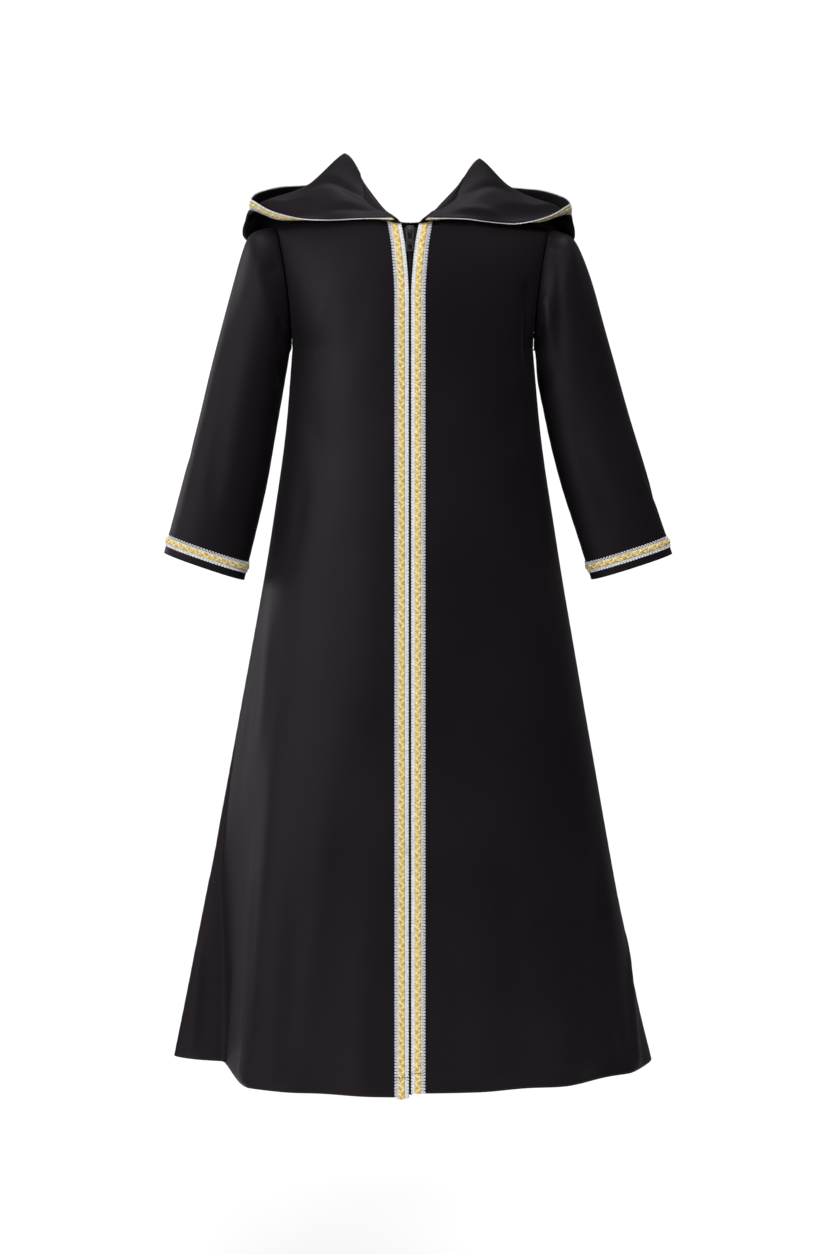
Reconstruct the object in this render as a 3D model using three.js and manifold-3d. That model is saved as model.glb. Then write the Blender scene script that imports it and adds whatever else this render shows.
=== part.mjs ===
// A child's hooded abaya with a zip front, worn shape, hollow inside.
// Millimetres, +Z up. The front faces -Y, the wearer's left is +X.
// The origin is midway between the two high shoulder points of the neckline.
import * as THREE from "three";
import { mergeVertices } from "three/addons/utils/BufferGeometryUtils.js";
import Module from "manifold-3d";

const wasm = await Module();
wasm.setup();

// ---- driving sizes -------------------------------------------------------
const CLOTH = 1.5; // wall of the robe cloth
const SEAM = 0.4; // clearance where two pieces are sewn together
const LAID = 0.3; // clearance under what is laid on a panel
const BRAID = { thick: 1.0, front: 14.6, cuff: 12.0, hood: 12.0, aboveCuff: 7.5 };

const ARMPIT_Z = -158; // bottom of the armholes
const HIGH_SHOULDER_X = 50; // half width of the neckline
const SHOULDER_SLOPE = 0.388; // fall of the shoulder line
const SHOULDER_X = { right: 137, left: 141 }; // outer ends of the shoulder seams
const ARMHOLE_BOW = { right: 4, left: 3 }; // how far the armhole is scooped
const FRONT_NECK_Z = -36;
const BACK_NECK_Z = -25;
const YOKE_SPREAD = 26; // how much wider the chest would close above the armpit
const YOKE_SPREAD_POWER = 0.7;
const YOKE_SQUARE = 2.4; // roundness of the yoke over the shoulder

// Cross-sections of the robe below the armpit: half widths on each side,
// reach to the front and to the back, and squareness of the outline.
const BODY_ROWS = [
  { z: -158, right: 121.5, left: 126.5, front: 80, back: 75, square: 2.35 },
  { z: -240, right: 128.5, left: 134.2, front: 88, back: 82, square: 2.32 },
  { z: -365, right: 146.8, left: 153.0, front: 100, back: 93, square: 2.28 },
  { z: -501, right: 172.0, left: 176.6, front: 112, back: 103, square: 2.24 },
  { z: -670, right: 204.0, left: 207.0, front: 125, back: 115, square: 2.2 },
  { z: -840, right: 238.0, left: 239.5, front: 135, back: 126, square: 2.16 },
  { z: -903, right: 251.0, left: 255.0, front: 139, back: 130, square: 2.14 },
];
const HEM_Z = { right: -906, left: -902 }; // at the zip
const SIDE_HEM_Z = { right: -893.5, left: -899 }; // at the side seams
const BACK_HEM_Z = -900; // at the centre of the back

// Half opening between the two front edges, from the neck down to the hem.
const ZIP_EDGE_ROWS = [
  { z: -940, x: 1.0 },
  { z: -110, x: 1.0 },
  { z: -62, x: 4.0 },
  { z: -30, x: 9.5 },
];

// Main folds of the skirt. Each is a trough that starts at (xTop, zTop) and runs
// down to xHem, with its reach towards the zip (inner) and the side (outer).
const FOLDS = [
  { face: "front", xTop: -166, zTop: -400, xHem: -208, inner: 44, outer: 60, depth: 86, sharp: 0.6 },
  { face: "front", xTop: 142, zTop: -480, xHem: 202, inner: 46, outer: 44, depth: 12, sharp: 1 },
  { face: "front", xTop: 84, zTop: -560, xHem: 116, inner: 48, outer: 42, depth: 6, sharp: 1 },
  { face: "front", xTop: -66, zTop: -600, xHem: -88, inner: 50, outer: 40, depth: 5, sharp: 1 },
  { face: "back", xTop: -124, zTop: -330, xHem: -188, inner: 44, outer: 46, depth: 30, sharp: 0.8 },
  { face: "back", xTop: -52, zTop: -250, xHem: -92, inner: 46, outer: 44, depth: 19, sharp: 1 },
  { face: "back", xTop: 6, zTop: -420, xHem: 10, inner: 44, outer: 44, depth: 11, sharp: 1 },
  { face: "back", xTop: 58, zTop: -280, xHem: 98, inner: 42, outer: 46, depth: 22, sharp: 1 },
  { face: "back", xTop: 132, zTop: -350, xHem: 190, inner: 42, outer: 48, depth: 28, sharp: 0.8 },
];
const FOLD_TOP_REACH = 0.35; // share of a fold's outer reach where it starts
const FOLD_GROWTH = 1.4; // how its depth grows on the way down
const FOLD_END = 1.01; // a fold stops growing just past the hem of the back
const LEAST_DEPTH = 0.1; // share of the depth that the deepest fold leaves

// Sleeve rings from the armhole out to the cuff: the point under the arm, the
// point on the outer side, half depth front to back, and the middle in y.
const SLEEVE_RINGS = {
  right: [
    { xIn: 124.3, zIn: -161, xOut: 153, zOut: -35.5, depth: 46, y: 2 },
    { xIn: 125.4, zIn: -166, xOut: 165, zOut: -42, depth: 49, y: 2 },
    { xIn: 126.6, zIn: -173, xOut: 173, zOut: -60, depth: 49, y: 2 },
    { xIn: 129.2, zIn: -188, xOut: 184, zOut: -98, depth: 46, y: 1 },
    { xIn: 134.0, zIn: -218, xOut: 200.5, zOut: -160, depth: 42, y: -1 },
    { xIn: 140.8, zIn: -258, xOut: 216, zOut: -222, depth: 38, y: -4 },
    { xIn: 149.2, zIn: -302, xOut: 230, zOut: -276, depth: 35, y: -6 },
    { xIn: 159.8, zIn: -348, xOut: 243, zOut: -324, depth: 31, y: -8 },
    { xIn: 171.6, zIn: -395.5, xOut: 254.6, zOut: -367, depth: 28, y: -10 },
  ],
  left: [
    { xIn: 128.8, zIn: -161, xOut: 155, zOut: -38, depth: 46, y: 2 },
    { xIn: 129.4, zIn: -167, xOut: 166.5, zOut: -44, depth: 49, y: 2 },
    { xIn: 129.9, zIn: -176, xOut: 176, zOut: -60, depth: 49, y: 2 },
    { xIn: 131.4, zIn: -192, xOut: 190, zOut: -98, depth: 46, y: 1 },
    { xIn: 137.2, zIn: -220, xOut: 207.5, zOut: -160, depth: 42, y: -1 },
    { xIn: 146.0, zIn: -260, xOut: 225, zOut: -224, depth: 38, y: -4 },
    { xIn: 157.6, zIn: -303, xOut: 242, zOut: -278, depth: 35, y: -6 },
    { xIn: 172.2, zIn: -349, xOut: 256.3, zOut: -325, depth: 31, y: -8 },
    { xIn: 187.2, zIn: -395, xOut: 271, zOut: -368, depth: 28, y: -10 },
  ],
};
const SLEEVE_SQUARE = 2.2;

// Ribs of one hood half, from the zip round to the crown seam. Each runs from
// the neck seam through low, middle and high points to the rim of the opening.
// In front the cloth rises to a ridge and turns out over the shoulder, behind
// it sinks into the open bowl. Each point is |x|, y, z.
const HOOD_RIBS = [
  { low: [11, -65, -33.5], middle: [12.6, -66, -31.5], high: [15, -66.5, -30.5], rim: [18, -67, -30] },
  { low: [26, -54, -21], middle: [29, -47, -17], high: [41, -55, -23], rim: [52, -60, -29.5] },
  { low: [43, -36, -1], middle: [47.5, -25, 7], high: [68, -42, -9], rim: [84, -50, -29.5] },
  { low: [57, -10, 17], middle: [66.5, -5, 36], high: [92, -20, 7], rim: [112, -37, -27] },
  { low: [66, 8, 13], middle: [85, 8, 19.5], high: [116, -4, 1], rim: [139, -26, -20] },
  { low: [72, 24, 0], middle: [107, 18, 1], high: [140, 8, -6], rim: [158, -12, -9] },
  { low: [76, 40, -14], middle: [124, 38, -29], high: [171, 14, -41], rim: [163, 3, -4] },
  { low: [70, 62, -32], middle: [116, 74, -52], high: [155, 58, -46], rim: [155, 35, 6] },
  { low: [58, 80, -62], middle: [94, 98, -88], high: [130, 98, -58], rim: [126, 71, 15] },
  { low: [32, 88, -92], middle: [56, 108, -150], high: [82, 126, -80], rim: [78, 93, 13] },
  { low: [0, 89, -100], middle: [0, 110, -176], high: [0, 136, -96], rim: [0, 108, -27] },
];
// How the left half lies against the right one.
const HOOD_LEFT_SHIFT = { low: [2, 0, -2], middle: [4, 0, -4.5], high: [-3, 0, -3], rim: [1, 0, -4.5] };
// Round the hood, the shift starts at one place and blends in, and blends out again
// before the crown seam.
const SHIFT = { start: 0.12, blend: 0.15, endBlend: 0.3 };
const SHOULDER_RIB = 0.36; // place of the high shoulder point round the neck seam
// The hood's braid starts narrow at the zip and is full width a little way round.
const BRAID_START = { share: 0.3, reach: 0.15 };

// Zip, along the front opening. Depths are inwards from the face of the cloth.
const TAPE = { top: -38, thick: 0.8, inner: 2.9, outer: 15.5 };
const CHAIN = { top: -44.5, width: 4.8, thick: 1.6 };
const ZIP_END_ABOVE_HEM = 3;
const ZIP_DEPTH = CLOTH + LAID + CHAIN.thick / 2;
const SLIDER = { z: -42.5, length: 13, topWidth: 9.2, bottomWidth: 7.8, plate: 1.2, gap: 2.6, crown: 0.5 };
const POST = { radius: 1.3, up: 3.4 };
const BRIDGE = { wide: 2.2, reach: 3.4, high: 4.9, bar: 1.1, sunk: 0.3 };
const PULL = { width: 8.0, foot: 7.2, length: 22.5, thick: 1.4, bar: 1.6, lift: 2.1, lean: 3 };
const PULL_HOLES = { top: 4.0, topEnd: 9.4, low: 4.6, lowStart: 15.6, lowEnd: 20.8 };

// Divisions of the walls.
const GRID = { front: 12, neck: 6, skirt: 12, yoke: 8, hoodRib: 12, ringSteps: 16 };
const HOOD_COLUMNS = { front: 6, back: 12 };
const NORMAL_STEP = 0.004; // share of a surface over which its slope is measured

// How far over each surface the inner edge of its braid is looked for, and how
// many times that stretch is halved to find it.
const SEARCH = { front: 0.4, cuff: 0.3, hood: 0.6, halvings: 22 };

const COLOURS = {
  cloth: { color: 0x262226, roughness: 0.62, metalness: 0 },
  braid: { color: 0xcfc8b4, roughness: 0.5, metalness: 0.35 },
  tape: { color: 0x17161a, roughness: 0.8, metalness: 0 },
  metal: { color: 0x1d1d20, roughness: 0.35, metalness: 0.8 },
};

// ---- small helpers -------------------------------------------------------
const mix = (a, b, t) => a + (b - a) * t;
const clamp = (value, low, high) => Math.min(high, Math.max(low, value));
const signOf = (side) => (side === "left" ? 1 : -1);

// Smooth curve through the rows of a table, column by column.
function tableValue(rows, at, column) {
  const order = rows[0].z < rows[rows.length - 1].z ? rows : [...rows].reverse();
  const x = order.map((row) => row.z);
  const y = order.map((row) => row[column]);
  const last = x.length - 1;
  const secant = (i) => (y[i + 1] - y[i]) / (x[i + 1] - x[i]);
  const slope = (i) => {
    if (i === 0) return secant(0);
    if (i === last) return secant(last - 1);
    const product = secant(i - 1) * secant(i);
    return product > 0 ? (2 * product) / (secant(i - 1) + secant(i)) : 0;
  };
  const value = clamp(at, x[0], x[last]);
  let i = 0;
  while (i < last - 1 && value > x[i + 1]) i += 1;
  const step = x[i + 1] - x[i];
  const t = (value - x[i]) / step;
  const smooth = t * t * (3 - 2 * t);
  const rise = t * (1 - t) * (1 - t) * step * slope(i);
  const fall = t * t * (t - 1) * step * slope(i + 1);
  return mix(y[i], y[i + 1], smooth) + rise + fall;
}

// Catmull-Rom value through evenly spaced numbers, t from 0 to 1.
function splineValue(values, t) {
  const last = values.length - 1;
  const at = clamp(t, 0, 1) * last;
  const i = Math.min(last - 1, Math.floor(at));
  const f = at - i;
  const b = values[i];
  const c = values[i + 1];
  const a = i > 0 ? values[i - 1] : 2 * b - c;
  const d = i < last - 1 ? values[i + 2] : 2 * c - b;
  const square = f * f;
  const cube = square * f;
  return 0.5 * (2 * b + (c - a) * f + (2 * a - 5 * b + 4 * c - d) * square + (3 * b - a - 3 * c + d) * cube);
}

function splinePoint(points, t) {
  return [0, 1, 2].map((axis) => splineValue(points.map((point) => point[axis]), t));
}

// ---- body of the robe ----------------------------------------------------
// Depth of the robe in y at a place (x, z), before folds.
function bodyDepth(face, x, z) {
  const side = x < 0 ? "right" : "left";
  const lower = Math.min(z, ARMPIT_Z);
  const rise = Math.max(0, (z - ARMPIT_Z) / (shoulderZ(SHOULDER_X[side]) - ARMPIT_Z));
  const width = tableValue(BODY_ROWS, lower, side) + YOKE_SPREAD * rise ** YOKE_SPREAD_POWER;
  const reach = tableValue(BODY_ROWS, lower, face);
  const square = tableValue(BODY_ROWS, lower, "square");
  const across = Math.max(0, 1 - (Math.abs(x) / width) ** square) ** (1 / square);
  const toRidge = clamp((z - ARMPIT_Z) / (shoulderZ(Math.abs(x)) - ARMPIT_Z), 0, 1);
  const over = (1 - toRidge ** YOKE_SQUARE) ** (1 / YOKE_SQUARE);
  return reach * across * over;
}

function shoulderZ(x) {
  return -(x - HIGH_SHOULDER_X) * SHOULDER_SLOPE;
}

// How far the folds pull the cloth in at (x, z).
function foldDepth(face, x, z) {
  let depth = 0;
  for (const fold of FOLDS.filter((row) => row.face === face)) {
    const down = clamp((z - fold.zTop) / (BACK_HEM_Z - fold.zTop), 0, FOLD_END);
    const middle = mix(fold.xTop, fold.xHem, down);
    const outward = (x - middle) * Math.sign(fold.xHem);
    const reach = outward < 0 ? fold.inner : fold.outer * mix(FOLD_TOP_REACH, 1, down);
    const part = Math.abs(outward / reach);
    const shape = part < 1 ? Math.cos((part * Math.PI) / 2) ** (2 * fold.sharp) : 0;
    depth += fold.depth * down ** FOLD_GROWTH * shape;
  }
  return depth;
}

function bodyPoint(face, x, z) {
  const deep = bodyDepth(face, x, z);
  const pulled = Math.max(deep - foldDepth(face, x, z), deep * LEAST_DEPTH);
  const outward = face === "front" ? -1 : 1;
  return [x, outward * (pulled + SEAM / 2), z];
}

const zipEdgeX = (z) => tableValue(ZIP_EDGE_ROWS, z, "x");

// One side of a front or back panel. u runs from the centre line (0) to the
// side (1), v from the hem (0) over the armpit (SPLIT) to the top (1).
const SPLIT = GRID.skirt / (GRID.skirt + GRID.yoke);
const NECK_U = GRID.neck / GRID.front;

function panelPoint(face, side, u, v) {
  const sign = signOf(side);
  const inner = (z) => (face === "front" ? zipEdgeX(z) : 0);
  const hemMiddle = face === "front" ? HEM_Z[side] : BACK_HEM_Z;
  const hemZ = mix(hemMiddle, SIDE_HEM_Z[side], u * u);
  const acrossAt = (z) => {
    const square = tableValue(BODY_ROWS, z, "square");
    const width = tableValue(BODY_ROWS, z, side);
    const part = Math.sin((u * Math.PI) / 2) ** (2 / square);
    return inner(z) + (width - inner(z)) * part;
  };
  if (v <= SPLIT) {
    const z = mix(hemZ, ARMPIT_Z, v / SPLIT);
    return bodyPoint(face, sign * acrossAt(z), z);
  }
  const rise = (1 - Math.cos((Math.PI * (v - SPLIT)) / (1 - SPLIT))) / 2;
  const top = topEdge(face, side, u);
  const bow = ARMHOLE_BOW[side] * Math.sin(Math.PI * rise) * u ** 3;
  const z = mix(ARMPIT_Z, top.z, rise);
  const zipLean = inner(z) - mix(inner(ARMPIT_Z), inner(top.z), rise);
  const x = mix(acrossAt(ARMPIT_Z), top.x, rise) - bow + zipLean * (1 - u);
  return bodyPoint(face, sign * x, z);
}

// Upper edge of a panel: the neckline, then the shoulder seam.
function topEdge(face, side, u) {
  const neckZ = face === "front" ? FRONT_NECK_Z : BACK_NECK_Z;
  const start = face === "front" ? zipEdgeX(FRONT_NECK_Z) : 0;
  if (u <= NECK_U) {
    const turn = (u / NECK_U) * (Math.PI / 2);
    return { x: mix(start, HIGH_SHOULDER_X, Math.sin(turn)), z: neckZ * Math.cos(turn) };
  }
  const x = mix(HIGH_SHOULDER_X, SHOULDER_X[side], (u - NECK_U) / (1 - NECK_U));
  return { x, z: shoulderZ(x) };
}

// Where a braid ends, measured along a surface from one of its edges. point(t)
// walks away from the edge as t grows.
function walk(point, distance, farthest) {
  const start = new THREE.Vector3(...point(0));
  let low = 0;
  let high = farthest;
  for (let i = 0; i < SEARCH.halvings; i += 1) {
    const middle = (low + high) / 2;
    if (new THREE.Vector3(...point(middle)).distanceTo(start) < distance) low = middle;
    else high = middle;
  }
  return low;
}

// Piecewise straight change of one parameter through pairs [from, to].
function through(pairs, t) {
  const last = pairs.length - 2;
  let i = 0;
  while (i < last && t > pairs[i + 1][0]) i += 1;
  const [[a, c], [b, d]] = [pairs[i], pairs[i + 1]];
  return mix(c, d, (t - a) / (b - a));
}

const linear = (values, t) => through(values.map((value, i) => [i / (values.length - 1), value]), t);
const steps = (count) => [...Array(count + 1).keys()].map((i) => i / count);

// The first column of a front panel is as wide as its braid.
const BRAID_U = 1 / GRID.front;

function frontSurface(side) {
  const edge = steps(GRID.skirt + GRID.yoke).map((v) =>
    walk((u) => panelPoint("front", side, u, v), BRAID.front, SEARCH.front),
  );
  return (u, v) => {
    const pairs = [[0, 0], [BRAID_U, linear(edge, v)], [NECK_U, NECK_U], [1, 1]];
    return panelPoint("front", side, through(pairs, u), v);
  };
}

// The back is one panel: u runs from the right side seam to the left one.
const backSurface = (u, v) => {
  const side = u < 0.5 ? "right" : "left";
  return panelPoint("back", side, Math.abs(2 * u - 1), v);
};

// ---- sleeves -------------------------------------------------------------
// around 0 is under the arm, 0.25 the front, 0.5 the outer side, 0.75 the back.
function armholePoint(side, around) {
  const face = around <= 0.5 ? "front" : "back";
  const up = around <= 0.5 ? around * 2 : 2 - around * 2;
  const point = panelPoint(face, side, 1, mix(SPLIT, 1, up));
  return [Math.abs(point[0]) + SEAM, point[1], point[2] + SEAM * 0.5];
}

function ringPoint(ring, around) {
  const turn = around * 2 * Math.PI;
  const shaped = (value) => Math.sign(value) * Math.abs(value) ** (2 / SLEEVE_SQUARE);
  const out = 0.5 - 0.5 * shaped(Math.cos(turn));
  const forward = shaped(Math.sin(turn));
  return [mix(ring.xIn, ring.xOut, out), ring.y - ring.depth * forward, mix(ring.zIn, ring.zOut, out)];
}

function sleevePoint(side, around, along) {
  const rings = SLEEVE_RINGS[side].map((ring) => ringPoint(ring, around));
  const point = splinePoint([armholePoint(side, around), ...rings], along);
  return [point[0] * signOf(side), point[1], point[2]];
}

// Rows of the sleeve: one to a ring, then the braid, then the hem below it.
const SLEEVE_ROWS = SLEEVE_RINGS.right.length + 2;
const CUFF_ROWS = { top: (SLEEVE_ROWS - 2) / SLEEVE_ROWS, bottom: (SLEEVE_ROWS - 1) / SLEEVE_ROWS };

function sleeveSurface(side) {
  const measure = (distance) =>
    steps(GRID.ringSteps).map((around) =>
      1 - walk((back) => sleevePoint(side, around % 1, 1 - back), distance, SEARCH.cuff),
    );
  const bottom = measure(BRAID.aboveCuff);
  const top = measure(BRAID.aboveCuff + BRAID.cuff);
  return (around, along) => {
    const braidRows = [[CUFF_ROWS.top, linear(top, around)], [CUFF_ROWS.bottom, linear(bottom, around)]];
    return sleevePoint(side, around, through([[0, 0], ...braidRows, [1, 1]], along));
  };
}

// ---- hood ----------------------------------------------------------------
// round 0 is the zip, 1 the crown seam; up 0 is the neck seam, 1 the rim.
function hoodNeckPoint(side, round) {
  const inFront = round <= SHOULDER_RIB;
  const face = inFront ? "front" : "back";
  const part = inFront ? round / SHOULDER_RIB : (1 - round) / (1 - SHOULDER_RIB);
  const column = Math.min(GRID.neck - 1, Math.floor(part * GRID.neck));
  const seamPoint = (i) => panelPoint(face, side, (i / GRID.neck) * NECK_U, 1);
  const [a, b] = [seamPoint(column), seamPoint(column + 1)];
  const point = a.map((value, axis) => mix(value, b[axis], part * GRID.neck - column));
  return [Math.abs(point[0]), point[1], point[2] + SEAM + LAID];
}

const shiftAt = (round) =>
  clamp((round - SHIFT.start) / SHIFT.blend, 0, 1) * clamp((1 - round) / SHIFT.endBlend, 0, 1);

function hoodPoint(side, round, up) {
  const spread = side === "left" ? shiftAt(round) : 0;
  const column = (key) => {
    const point = splinePoint(HOOD_RIBS.map((rib) => rib[key]), round);
    return point.map((value, axis) => value + HOOD_LEFT_SHIFT[key][axis] * spread);
  };
  const rib = [hoodNeckPoint(side, round), column("low"), column("middle"), column("high"), column("rim")];
  const point = splinePoint(rib, up);
  return [Math.max(SEAM / 2, point[0]) * signOf(side), point[1], point[2]];
}

// The last row of the hood is as wide as its braid.
const RIM_ROW = 1 - 1 / GRID.hoodRib;
const HOOD_STEPS = HOOD_COLUMNS.front + HOOD_COLUMNS.back;

const hoodRound = (t) => through([[0, 0], [HOOD_COLUMNS.front / HOOD_STEPS, SHOULDER_RIB], [1, 1]], t);

function hoodSurface(side) {
  const { share, reach } = BRAID_START;
  const width = (round) => BRAID.hood * clamp(share + round / reach, share, 1);
  const edge = steps(HOOD_STEPS).map((t) => {
    const round = hoodRound(t);
    return 1 - walk((back) => hoodPoint(side, round, 1 - back), width(round), SEARCH.hood);
  });
  return (t, up) => hoodPoint(side, hoodRound(t), through([[0, 0], [RIM_ROW, linear(edge, t)], [1, 1]], up));
}

// ---- making walls from surfaces ------------------------------------------
function normalAt(surface, u, v, wrap) {
  const low = (t) => (wrap ? t - NORMAL_STEP : Math.max(0, t - NORMAL_STEP));
  const high = (t) => (wrap ? t + NORMAL_STEP : Math.min(1, t + NORMAL_STEP));
  const turn = (t) => (wrap ? (t + 1) % 1 : t);
  const edge = (t) => clamp(t, 0, 1);
  const a = new THREE.Vector3(...surface(turn(low(u)), v));
  const b = new THREE.Vector3(...surface(turn(high(u)), v));
  const c = new THREE.Vector3(...surface(u, edge(v - NORMAL_STEP)));
  const d = new THREE.Vector3(...surface(u, edge(v + NORMAL_STEP)));
  return b.sub(a).cross(d.sub(c)).normalize();
}

// A point of the wall: depth is measured from the outer face inwards. On the
// centre seam the wall stays square to the seam.
function wallPoint(surface, facing, u, v, depth, { wrap = false, onSeam = false }) {
  const normal = normalAt(surface, u, v, wrap).multiplyScalar(facing);
  if (onSeam) normal.setX(0).normalize();
  return new THREE.Vector3(...surface(u, v)).addScaledVector(normal, -depth);
}

// An open sheet as a closed wall: a flat box bent onto the surface. The spans
// are the parts of the surface that it covers.
function sheetWall(surface, facing, spec) {
  const { nu, nv, from = 0, to = CLOTH, uSpan = [0, 1], vSpan = [0, 1], seamU = -1 } = spec;
  const place = (x, y, z) => {
    const u = mix(...uSpan, x + 0.5);
    const v = mix(...vSpan, y + 0.5);
    return wallPoint(surface, facing, u, v, z > 0 ? from : to, { onSeam: u === seamU });
  };
  return bent(new THREE.BoxGeometry(1, 1, 1, nu, nv, 1), place);
}

// A tube as a closed wall: a turned ring of rectangular profile, bent.
function tubeWall(surface, facing, spec) {
  const { around, nv, from = 0, to = CLOTH, vSpan = [0, 1] } = spec;
  const [inside, outside] = [1, 2];
  const outer = steps(nv).map((t) => new THREE.Vector2(outside, t));
  const inner = [...outer].reverse().map((point) => new THREE.Vector2(inside, point.y));
  const geometry = new THREE.LatheGeometry([...outer, ...inner, outer[0].clone()], around);
  const place = (x, y, z) => {
    const turn = Math.atan2(x, z) / (2 * Math.PI) + 1;
    const step = Math.round(turn * around) / around;
    const depth = Math.hypot(x, z) > (inside + outside) / 2 ? from : to;
    return wallPoint(surface, facing, step % 1, mix(...vSpan, y), depth, { wrap: true });
  };
  return bent(geometry, place);
}

// Moves every vertex of a geometry and leaves it closed, faces outwards.
function bent(geometry, place) {
  geometry.deleteAttribute("normal");
  geometry.deleteAttribute("uv");
  let merged = mergeVertices(geometry, 1e-4);
  const position = merged.attributes.position;
  for (let i = 0; i < position.count; i += 1) {
    const point = place(position.getX(i), position.getY(i), position.getZ(i));
    position.setXYZ(i, point.x, point.y, point.z);
  }
  if (signedVolume(merged) < 0) merged = turnedInsideOut(merged);
  merged.computeVertexNormals();
  return merged;
}

function signedVolume(geometry) {
  const index = geometry.index.array;
  const corner = (i) => new THREE.Vector3().fromBufferAttribute(geometry.attributes.position, index[i]);
  let volume = 0;
  for (let i = 0; i < index.length; i += 3) {
    volume += corner(i).dot(corner(i + 1).cross(corner(i + 2)));
  }
  return volume / 6;
}

function turnedInsideOut(geometry) {
  const index = geometry.index.array;
  for (let i = 0; i < index.length; i += 3) {
    [index[i], index[i + 1]] = [index[i + 1], index[i]];
  }
  return geometry;
}

const garment = new THREE.Group();

function addPiece(name, geometry, look) {
  const mesh = new THREE.Mesh(geometry, new THREE.MeshStandardMaterial(COLOURS[look]));
  mesh.name = name;
  garment.add(mesh);
  return mesh;
}

// ---- cloth pieces and their braids ---------------------------------------
// A braid lies outside its panel, so its depth is below zero. Its face towards
// the panel has the panel's own points, moved out.
const laidOff = (gap) => ({ from: -gap, to: -(gap + BRAID.thick) });
const laidOn = laidOff(LAID);
const HOOD_BRAID_GAP = 0.5; // looser, because the rim turns sharply at the shoulder
const panelRows = GRID.skirt + GRID.yoke;

for (const side of ["right", "left"]) {
  const sign = signOf(side);
  const front = frontSurface(side);
  addPiece(`front_${side}`, sheetWall(front, sign, { nu: GRID.front, nv: panelRows }), "cloth");
  const strip = { nu: 1, nv: panelRows, uSpan: [0, BRAID_U], ...laidOn };
  addPiece(`braid_front_${side}`, sheetWall(front, sign, strip), "braid");
}

addPiece("back", sheetWall(backSurface, -1, { nu: GRID.front * 2, nv: panelRows }), "cloth");

for (const side of ["right", "left"]) {
  const sign = signOf(side);
  const sleeve = sleeveSurface(side);
  const around = GRID.ringSteps;
  addPiece(`sleeve_${side}`, tubeWall(sleeve, -sign, { around, nv: SLEEVE_ROWS }), "cloth");
  const band = { around, nv: 1, vSpan: [CUFF_ROWS.top, CUFF_ROWS.bottom], ...laidOn };
  addPiece(`braid_cuff_${side}`, tubeWall(sleeve, -sign, band), "braid");
}

for (const side of ["right", "left"]) {
  const sign = signOf(side);
  const hood = hoodSurface(side);
  const wall = { nu: HOOD_STEPS, nv: GRID.hoodRib, seamU: 1 };
  addPiece(`hood_${side}`, sheetWall(hood, sign, wall), "cloth");
  const strip = { nu: HOOD_STEPS, nv: 1, vSpan: [RIM_ROW, 1], seamU: 1, ...laidOff(HOOD_BRAID_GAP) };
  addPiece(`braid_hood_${side}`, sheetWall(hood, sign, strip), "braid");
}

// ---- zip -----------------------------------------------------------------
// Heights of the rows of a front panel along the zip, from low to high.
function zipRows(side, low, high) {
  const rows = steps(panelRows).map((v) => panelPoint("front", side, 0, v)[2]);
  return [low, ...rows.filter((z) => z > low + 1 && z < high - 1), high];
}

function placketStrip(side, low, high, inner, outer) {
  const rows = zipRows(side, low, high);
  const surface = (u, v) => bodyPoint("front", mix(inner, outer, u), linear(rows, v));
  return { surface, nv: rows.length - 1 };
}

const zipEnd = Math.max(HEM_Z.right, HEM_Z.left) + ZIP_END_ABOVE_HEM;

for (const side of ["right", "left"]) {
  const sign = signOf(side);
  const { surface, nv } = placketStrip(side, zipEnd, TAPE.top, sign * TAPE.inner, sign * TAPE.outer);
  const depths = { from: ZIP_DEPTH - TAPE.thick / 2, to: ZIP_DEPTH + TAPE.thick / 2 };
  addPiece(`zip_tape_${side}`, sheetWall(surface, sign, { nu: 1, nv, ...depths }), "tape");
}

{
  const half = CHAIN.width / 2;
  const { surface, nv } = placketStrip("right", zipEnd, CHAIN.top, -half, half);
  const depths = { from: ZIP_DEPTH - CHAIN.thick / 2, to: ZIP_DEPTH + CHAIN.thick / 2 };
  addPiece("zip_chain", sheetWall(surface, 1, { nu: 1, nv, ...depths }), "tape");
}

// The slider and its pull are made flat, front towards -Y, and leaned back with
// the opening. Height 0 is the middle of the slider, y 0 the face of the cloth.
const clothY = (z) => bodyPoint("front", 0, z)[1];
const lean = Math.atan2(
  clothY(SLIDER.z + SLIDER.length / 2) - clothY(SLIDER.z - SLIDER.length / 2),
  SLIDER.length,
);

function toManifold(geometry) {
  geometry.deleteAttribute("normal");
  geometry.deleteAttribute("uv");
  const merged = mergeVertices(geometry, 1e-5);
  const mesh = { numProp: 3, vertProperties: merged.attributes.position.array, triVerts: merged.index.array };
  return new wasm.Manifold(new wasm.Mesh({ ...mesh, triVerts: new Uint32Array(mesh.triVerts) }));
}

function fromManifold(manifold) {
  const mesh = manifold.getMesh();
  const geometry = new THREE.BufferGeometry();
  geometry.setAttribute("position", new THREE.BufferAttribute(mesh.vertProperties, 3));
  geometry.setIndex(new THREE.BufferAttribute(mesh.triVerts, 1));
  geometry.computeVertexNormals();
  return geometry;
}

// A plate of the slider, wider at the top where the tapes part.
function sliderPlate(front) {
  const [high, top, bottom] = [SLIDER.length / 2, SLIDER.topWidth / 2, SLIDER.bottomWidth / 2];
  const outline = new THREE.Shape();
  outline.moveTo(-bottom, -high);
  outline.lineTo(bottom, -high);
  const crown = top * SLIDER.crown;
  outline.lineTo(top, high - crown);
  outline.absellipse(0, high - crown, top, crown, 0, Math.PI, false);
  outline.lineTo(-bottom, -high);
  const spec = { depth: SLIDER.plate, bevelEnabled: false, curveSegments: 8 };
  const plate = new THREE.ExtrudeGeometry(outline, spec);
  plate.rotateX(Math.PI / 2);
  return plate.translate(0, front + SLIDER.plate, 0);
}

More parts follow.
